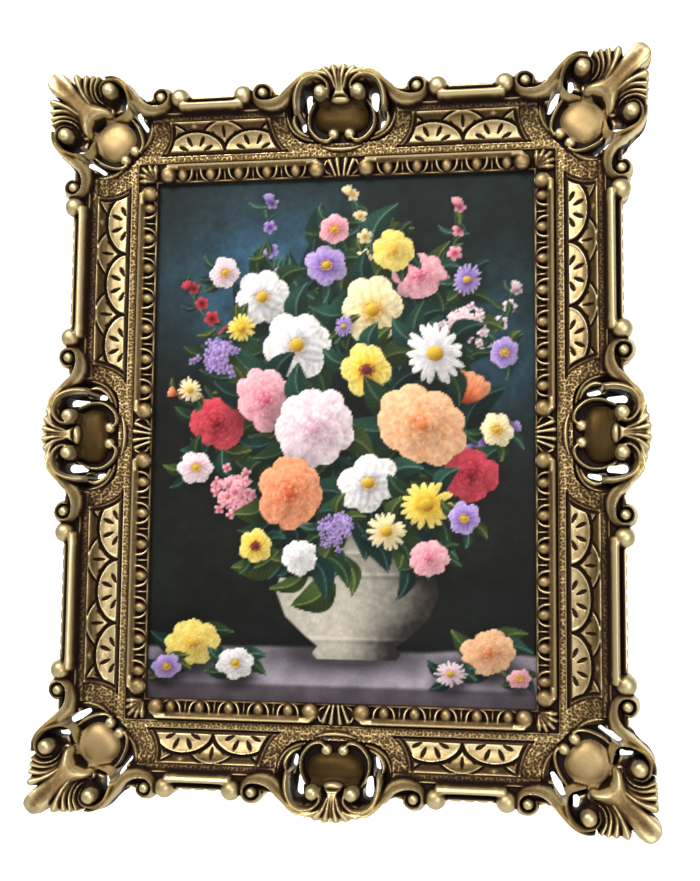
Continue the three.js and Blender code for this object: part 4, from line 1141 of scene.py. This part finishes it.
GREENS = [("#0E1B12", "#2C4A2C", "#6E8A5A"), ("#10231D", "#2F5A48", "#7DA08A"),
          ("#1A2410", "#4A5F2C", "#97A35E"),
          ("#0B1714", "#1E3F38", "#5B8078")]
WHITE = ("#A9A6B4", "#E4DFE2", "#FFFCF4")
CREAM = ("#C98F4A", "#F0D79A", "#FFF3CE")
PEACH = ("#B4542A", "#F0A06A", "#FFD9AE")
PINK = ("#A63450", "#E8859A", "#FFD3D2")
CRIMSON = ("#4A0A14", "#A81F30", "#E4606A")
VIOLET = ("#4B2F78", "#8F6FBE", "#D3C0EA")
YELLOW = ("#B8791A", "#F2C63E", "#FFF0A0")
SALMON = ("#9C3A22", "#E2744A", "#FFBE92")
BLUSH = ("#B87F96", "#EBC4D0", "#FFF2F2")
GOLD_HEART = ("#8A5A12", "#F4D24A")
DARK_HEART = ("#3A1420", "#8A3A3A")


def tones(names):
    """The colours of a set of shades."""
    return tuple(rgb(name) for name in names)


def paint_ground(canvas):
    """Dark ground with two blue openings, a warm glow and a stone ledge."""
    x, z = canvas.x, canvas.z
    soft = canvas.cloud[3] * 0.5 + canvas.cloud[2] * 0.3
    base = mixed(rgb("#0E0B0B"), rgb("#1B2420"), np.clip(0.45 + 0.25 * soft + (z + 60) / 500, 0, 1))
    sky = np.exp(-(((x + 62) / 78) ** 2
                   + ((z - 128) / 66) ** 2)) + 0.55 * np.exp(-(((x - 112) / 46) ** 2
                                                               + ((z - 60) / 70) ** 2))
    base = mixed(base, rgb("#3F7396"), np.clip(sky * (0.72 + 0.22 * soft), 0, 0.9))
    glow = np.exp(-(((x - 10) / 120) ** 2 + ((z + 40) / 60) ** 2)) * 0.4
    base = mixed(base, rgb("#4A3626"), np.clip(glow * (0.7 + 0.3 * soft), 0, 1))
    canvas.colour[:] = base * (1 + 0.05 * canvas.cloud[1] + 0.04 * canvas.cloud[0])[..., None]
    ledge = np.clip((-158 - z + 1.5 * canvas.cloud[2]) / 3, 0, 1)
    stone = mixed(rgb("#7E7480"), rgb("#B4A9B6"),
                  np.clip(0.45 + 0.18 * soft + (z + 180) / 90 + x / 700, 0, 1))
    front = np.clip((-186 - z) / 3, 0, 1)
    stone = mixed(stone, rgb("#453C42"), front * 0.8)
    canvas.lay((slice(None), slice(None)), ledge, stone * (1 + 0.05 * canvas.cloud[1])[..., None])
    canvas.shade(6, -164, 70, 0.6, 0.22)


JAR = [(-168, 30), (-163, 34), (-158, 30), (-150, 40), (-136, 55), (-118, 62), (-100, 58), (-86, 44),
       (-78, 38), (-70, 42),
       (-66, 47)]


def paint_jar(canvas, middle):
    """Round-bellied stoneware jar with a collar, a foot and three turned bands."""
    z, x = canvas.z, canvas.x - middle
    heights, halves = np.array(JAR, float).T
    half = np.interp(z, heights, halves)
    inside = (z > heights[0]) & (z < heights[-1])
    u = x / half
    lit = np.clip(0.56 - 0.52 * u - 0.35 * u ** 2 + 0.18 * np.sin((z + 170) / 34), 0, 1)
    bands = sum(np.exp(-((z - level) / 1.3) ** 2)
                - 0.8 * np.exp(-((z - level + 2.6) / 1.4) ** 2) for level in (-152, -104, -88))
    lit = np.clip(lit + 0.16 * bands + 0.05 * canvas.cloud[2] + 0.03 * canvas.cloud[0], 0, 1)
    tone = mixed(mixed(rgb("#2A2522"), rgb("#7F7A70"), np.clip(lit * 2, 0, 1)), rgb("#CFC8B6"),
                 np.clip(lit * 2 - 1, 0, 1))
    canvas.lay((slice(None), slice(None)), inside * np.clip((1 - np.abs(u)) * half / 1.2, 0, 1), tone)


def paint_leaves(canvas, middle):
    """A loose mass of leaves behind the flowers."""
    for _ in range(230):
        turn = rng.random() * 2 * math.pi
        far = 24 + 82 * rng.random()
        x = middle[0] + far * math.cos(turn) * 0.92
        z = middle[1] + far * math.sin(turn) * 1.28
        if z < -150:
            continue
        length = 22 + 22 * rng.random()
        leaf(canvas, x, z, turn + rng.normal() * 0.6, length, length * (0.2 + 0.12 * rng.random()),
             tones(GREENS[rng.integers(4)]))


def paint_sprigs(canvas):
    """Thin flowering sprigs that break the bouquet's outline."""
    for foot, tip, bend, shades in (
        ((-30, 96), (-58, 186), -14, VIOLET), ((10, 110), (4, 190), 8, CREAM),
        ((54, 92), (88, 178), 12, PINK),
        ((-70, 60), (-122, 118), -8, CRIMSON), ((86, 50), (132, 112), 8, BLUSH),
        ((-78, 0), (-132, 34), 6, SALMON),
        ((88, -20), (132, 6), -4, VIOLET),
    ):
        middle = ((foot[0] + tip[0]) / 2 + bend, (foot[1] + tip[1]) / 2)
        path = smooth_path([foot, middle, tip], 30)
        stem(canvas, [foot, middle, tip], 0.9, (rgb("#1C2A14"), rgb("#6A7A44")))
        for k, (x, z) in enumerate(path[6::3]):
            turn = rng.random() * 6.28
            leaf(canvas, x, z, turn, 12 + 6 * rng.random(), 3.2, tones(GREENS[rng.integers(4)]))
            if k % 2:
                size = 4.2 + 3 * (1 - k / 9)
                for j in range(5):
                    petal(canvas, x + 3, z + 2, j * 1.257 + turn, size, size * 0.5, tones(shades), (0, 1),
                          0.5, 0.03)
        cup_bloom(canvas, tip[0], tip[1], 6.5, tones(shades),
                  math.atan2(tip[1] - middle[1], tip[0] - middle[0]))


def paint_bouquet():
    """The whole picture, from the ground to the flowers lying on the ledge."""
    canvas = Canvas()
    paint_ground(canvas)
    paint_jar(canvas, 14)
    paint_leaves(canvas, (4, 24))
    paint_sprigs(canvas)
    heart, night = tones(GOLD_HEART), tones(DARK_HEART)
    for x, z, size, kind, shades in (
        (-96, 62, 17, "head", VIOLET), (92, 84, 18, "head", BLUSH), (-12, 132, 17, "open", VIOLET),
        (60, 122, 19, "full", PINK),
        (-62, 108, 23, "open", WHITE), (24, 96, 27, "open", CREAM), (-96, 10, 21, "full", CRIMSON),
        (98, 34, 21, "cup", SALMON),
        (-34, 70, 28, "open", WHITE), (72, 62, 25, "rayed", WHITE), (20, 50, 22, "open", YELLOW),
        (-80, -42, 20, "head", PINK),
        (-58, 28, 25, "full", PINK), (98, -30, 20, "full", CRIMSON), (62, 8, 33, "full", PEACH),
        (-20, 6, 30, "full", BLUSH),
        (-38, -44, 27, "full", SALMON), (22, -36, 25, "open", WHITE), (66, -52, 21, "rayed", YELLOW),
        (-4, -68, 15, "head", VIOLET),
        (36, -72, 16, "rayed", CREAM), (-78, 84, 12, "rayed", YELLOW), (-112, -24, 15, "open", BLUSH),
        (118, 4, 14, "open", CREAM),
        (-6, 160, 13, "open", PINK), (-92, 128, 13, "open", BLUSH), (96, 118, 13, "rayed", VIOLET),
        (-118, 36, 11, "rayed", CREAM),
        (40, 142, 15, "full", YELLOW), (-64, -84, 14, "open", YELLOW), (68, -92, 14, "full", PINK),
        (124, 62, 12, "open", VIOLET),
        (-30, -92, 13, "full", WHITE), (2, 84, 9, "rayed", VIOLET), (94, -62, 13, "open", VIOLET),
    ):
        tilt = (rng.random() * 3.1, 0.78 + 0.2 * rng.random())
        for _ in range(3):
            turn = rng.random() * 6.28
            leaf(canvas, x + size * 0.5 * math.cos(turn), z + size * 0.5 * math.sin(turn), turn,
                 size * 1.25, size * 0.36,
                 tones(GREENS[rng.integers(4)]))
        if kind == "full":
            full_bloom(canvas, x, z, size, tones(shades), tilt)
        elif kind == "open":
            open_bloom(canvas, x, z, size, tones(shades), tilt, night if shades is YELLOW else heart)
        elif kind == "rayed":
            rayed_bloom(canvas, x, z, size, tones(shades), tilt, heart)
        elif kind == "head":
            blossom_head(canvas, x, z, size, tones(shades), heart)
        else:
            cup_bloom(canvas, x, z, size, tones(shades), 1.1)
    for x, z, size, kind, shades in (
        (-112, -158, 20, "full", YELLOW), (-78, -172, 15, "open", WHITE), (-132, -176, 12, "open", VIOLET),
        (112, -160, 19, "full", PEACH), (84, -176, 12, "rayed", BLUSH), (134, -178, 9, "open", PINK),
    ):
        canvas.shade(x, z - size * 0.7, size * 1.2, 0.5, 0.5)
        for turn in (0.3, 2.6, -0.5, 3.6):
            leaf(canvas, x, z, turn + rng.normal() * 0.3, size * 1.7, size * 0.42,
                 tones(GREENS[rng.integers(4)]))
        bloom = {"full": full_bloom, "open": open_bloom, "rayed": rayed_bloom}[kind]
        extra = () if kind == "full" else (heart,)
        bloom(canvas, x, z, size, tones(shades), (0.2, 0.8), *extra)
    fade = 1 - 0.22 * np.clip(np.hypot(canvas.x / 152, canvas.z / 203) - 0.72, 0, 1)
    return canvas, np.clip(canvas.colour * fade[..., None], 0, 1)


def painted_canvas():
    """Printed and varnished canvas: colours from the laid petals, a fine weave and brush ridges, a soft sheen."""
    material, tree = new_material("varnished_canvas_painting")
    place = add_node(tree, "ShaderNodeTexCoord")
    paint = add_node(tree, "ShaderNodeAttribute", {"attribute_name": "paint"})
    brush = add_node(tree, "ShaderNodeTexNoise", Vector=(place, "Object"), Scale=260.0, Detail=6.0,
                     Roughness=0.65, Distortion=1.6)
    warp = add_node(tree, "ShaderNodeTexWave", {"bands_direction": "X"}, Vector=(place, "Object"),
                    Scale=420.0)
    weft = add_node(tree, "ShaderNodeTexWave", {"bands_direction": "Z"}, Vector=(place, "Object"),
                    Scale=420.0)
    weave = add_node(tree, "ShaderNodeMath", {"operation": "ADD"}, i0=(warp, "Fac"), i1=(weft, "Fac"))
    touch = add_node(tree, "ShaderNodeMapRange", Value=(brush, "Fac"), i1=0.3, i2=0.7, i3=0.8, i4=1.06)
    tint = add_node(tree, "ShaderNodeVectorMath", {"operation": "SCALE"}, i0=(paint, "Color"))
    tree.links.new(touch.outputs[0], tint.inputs["Scale"])
    ridge = add_node(tree, "ShaderNodeBump", Height=(brush, "Fac"), Strength=0.25, Distance=0.0004)
    cloth = add_node(tree, "ShaderNodeBump", Height=(weave, 0), Normal=(ridge, 0), Strength=0.18,
                     Distance=0.0002)
    shader = add_node(tree, "ShaderNodeBsdfPrincipled", Base_Color=(tint, 0), Roughness=0.5,
                      Specular_IOR_Level=0.12,
                      Normal=(cloth, 0))
    add_node(tree, "ShaderNodeOutputMaterial", Surface=(shader, 0))
    return material


def build_painting():
    """The painted panel: a net of colours in front, plain sides and back."""
    canvas, colours = paint_bouquet()
    n, m = PAINT_NET
    front = picture_low[1]
    back = picture_high[1]
    face = np.column_stack([canvas.x.ravel() + CENTRE_X, np.full(n * m, front),
                            canvas.z.ravel() + CENTRE_Z])
    index = np.arange(n * m).reshape(n, m)
    a, b, c, d = (v.ravel() for v in (index[:-1, :-1], index[1:, :-1], index[1:, 1:], index[:-1, 1:]))
    faces = np.vstack([np.column_stack([a, b, c]), np.column_stack([a, c, d])])
    ring = np.concatenate([index[:, 0], index[-1, 1:], index[-2::-1, -1], index[0, -2:0:-1]])
    rim = face[ring].copy()
    rim[:, 1] = back
    first, count = n * m, len(ring)
    after = np.roll(np.arange(count), -1)
    wall = np.vstack([np.column_stack([ring[after], ring, first + np.arange(count)]),
                      np.column_stack([ring[after], first + np.arange(count), first + after])])
    hub = first + count
    lid = np.column_stack([first + after, first + np.arange(count), np.full(count, hub)])
    vertices = np.vstack([face, rim, [[CENTRE_X, back, CENTRE_Z]]])
    mesh = mesh_from("painted_panel", vertices * MM, np.vstack([faces, wall, lid]))
    linear_colours = np.where(colours <= 0.04045, colours / 12.92,
                              ((colours + 0.055) / 1.055) ** 2.4).reshape(-1, 3)
    everything = np.vstack([linear_colours, linear_colours[ring], [[0.3, 0.28, 0.24]]])
    attribute = mesh.attributes.new("paint", "FLOAT_COLOR", "POINT")
    attribute.data.foreach_set("color", np.column_stack([everything,
                                                         np.ones(len(everything))]).astype(np.float32).ravel())
    mesh.materials.append(painted_canvas())
    piece = bpy.data.objects.new("painted_panel", mesh)
    bpy.context.collection.objects.link(piece)
    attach(piece, "root")
    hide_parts("painting")


def look_from(place, target, lens):
    """A camera at a place, aimed at a target."""
    camera = bpy.data.cameras.new("camera")
    camera.lens = lens
    camera.sensor_width = 36
    camera.clip_end = 50
    holder = bpy.data.objects.new("camera", camera)
    holder.location = place
    holder.rotation_euler = (Vector(target) - Vector(place)).to_track_quat("-Z", "Y").to_euler()
    bpy.context.collection.objects.link(holder)
    bpy.context.scene.camera = holder
    return holder


def soft_light(name, place, target, size, power, colour):
    """A rectangular soft light, aimed at a target."""
    light = bpy.data.lights.new(name, "AREA")
    light.shape = "RECTANGLE"
    light.size, light.size_y = size
    light.energy = power
    light.color = linear(colour)[:3]
    holder = bpy.data.objects.new(name, light)
    holder.location = place
    holder.rotation_euler = (Vector(target) - Vector(place)).to_track_quat("-Z", "Y").to_euler()
    bpy.context.collection.objects.link(holder)


def stage():
    """Paper behind and below."""
    # Dull off-white that takes a soft shadow.
    pale = plain_material("paper_painted_matt_white", ("#F4F3F1", "#EFEEEC"), 0.9)
    # Even white that glows a little, so that piercings read as light.
    bright = plain_material("paper_backdrop_lit_from_below", ("#FFFFFF", "#FBFBFA"), 0.9)
    glow = next(node for node in bright.node_tree.nodes if node.type == "BSDF_PRINCIPLED")
    glow.inputs["Emission Color"].default_value = linear("#FFFFFF")
    glow.inputs["Emission Strength"].default_value = 0.9
    side, behind, before, floor, top = 7, 3, -5, -1.7, 4
    for name, paper, corners in (
        ("backdrop", bright, [(-side, behind, floor), (side, behind, floor), (side, behind, top),
                              (-side, behind, top)]),
        ("floor", pale, [(-side, before, floor), (side, before, floor), (side, behind, floor),
                         (-side, behind, floor)]),
    ):
        mesh = bpy.data.meshes.new(name)
        mesh.from_pydata(corners, [], [(0, 1, 2, 3)])
        mesh.materials.append(paper)
        piece = bpy.data.objects.new(name, mesh)
        bpy.context.collection.objects.link(piece)


def place_camera():
    """The main view."""
    centre = Vector((CENTRE_X * MM, 0, CENTRE_Z * MM))
    # A little to the right of the middle and above it, turned and tilted towards the frame.
    holder = look_from((0, 0, 0), (0, 1, 0), 45.725)
    right = Vector((0.9892, 0.1459, 0.0097))
    down = Vector((-0.0031, 0.0869, -0.9962))
    ahead = Vector((-0.1462, 0.9855, 0.0864))
    turn = Matrix((right, -down, -ahead)).transposed()
    holder.matrix_world = Matrix.Translation(centre
                                             + Vector((0.1317, -0.8302 - 0.015, -0.0769))) @ turn.to_4x4()


build_frame()
build_painting()
dress_back()
stage()
place_camera()
middle = (CENTRE_X * MM, 0, CENTRE_Z * MM)
soft_light("key", (-0.55, -1.7, CENTRE_Z * MM + 1.2), middle, (1.1, 0.9), 41, "#FFFBF4")
soft_light("fill", (0.9, -2.2, CENTRE_Z * MM - 0.1), middle, (0.8, 1.0), 20, "#F6F8FF")
world = bpy.data.worlds.new("studio")
world.use_nodes = True
world.node_tree.nodes["Background"].inputs["Color"].default_value = linear("#FFFFFF")
world.node_tree.nodes["Background"].inputs["Strength"].default_value = 0.3
bpy.context.scene.world = world
bpy.context.scene.view_settings.view_transform = "Standard"
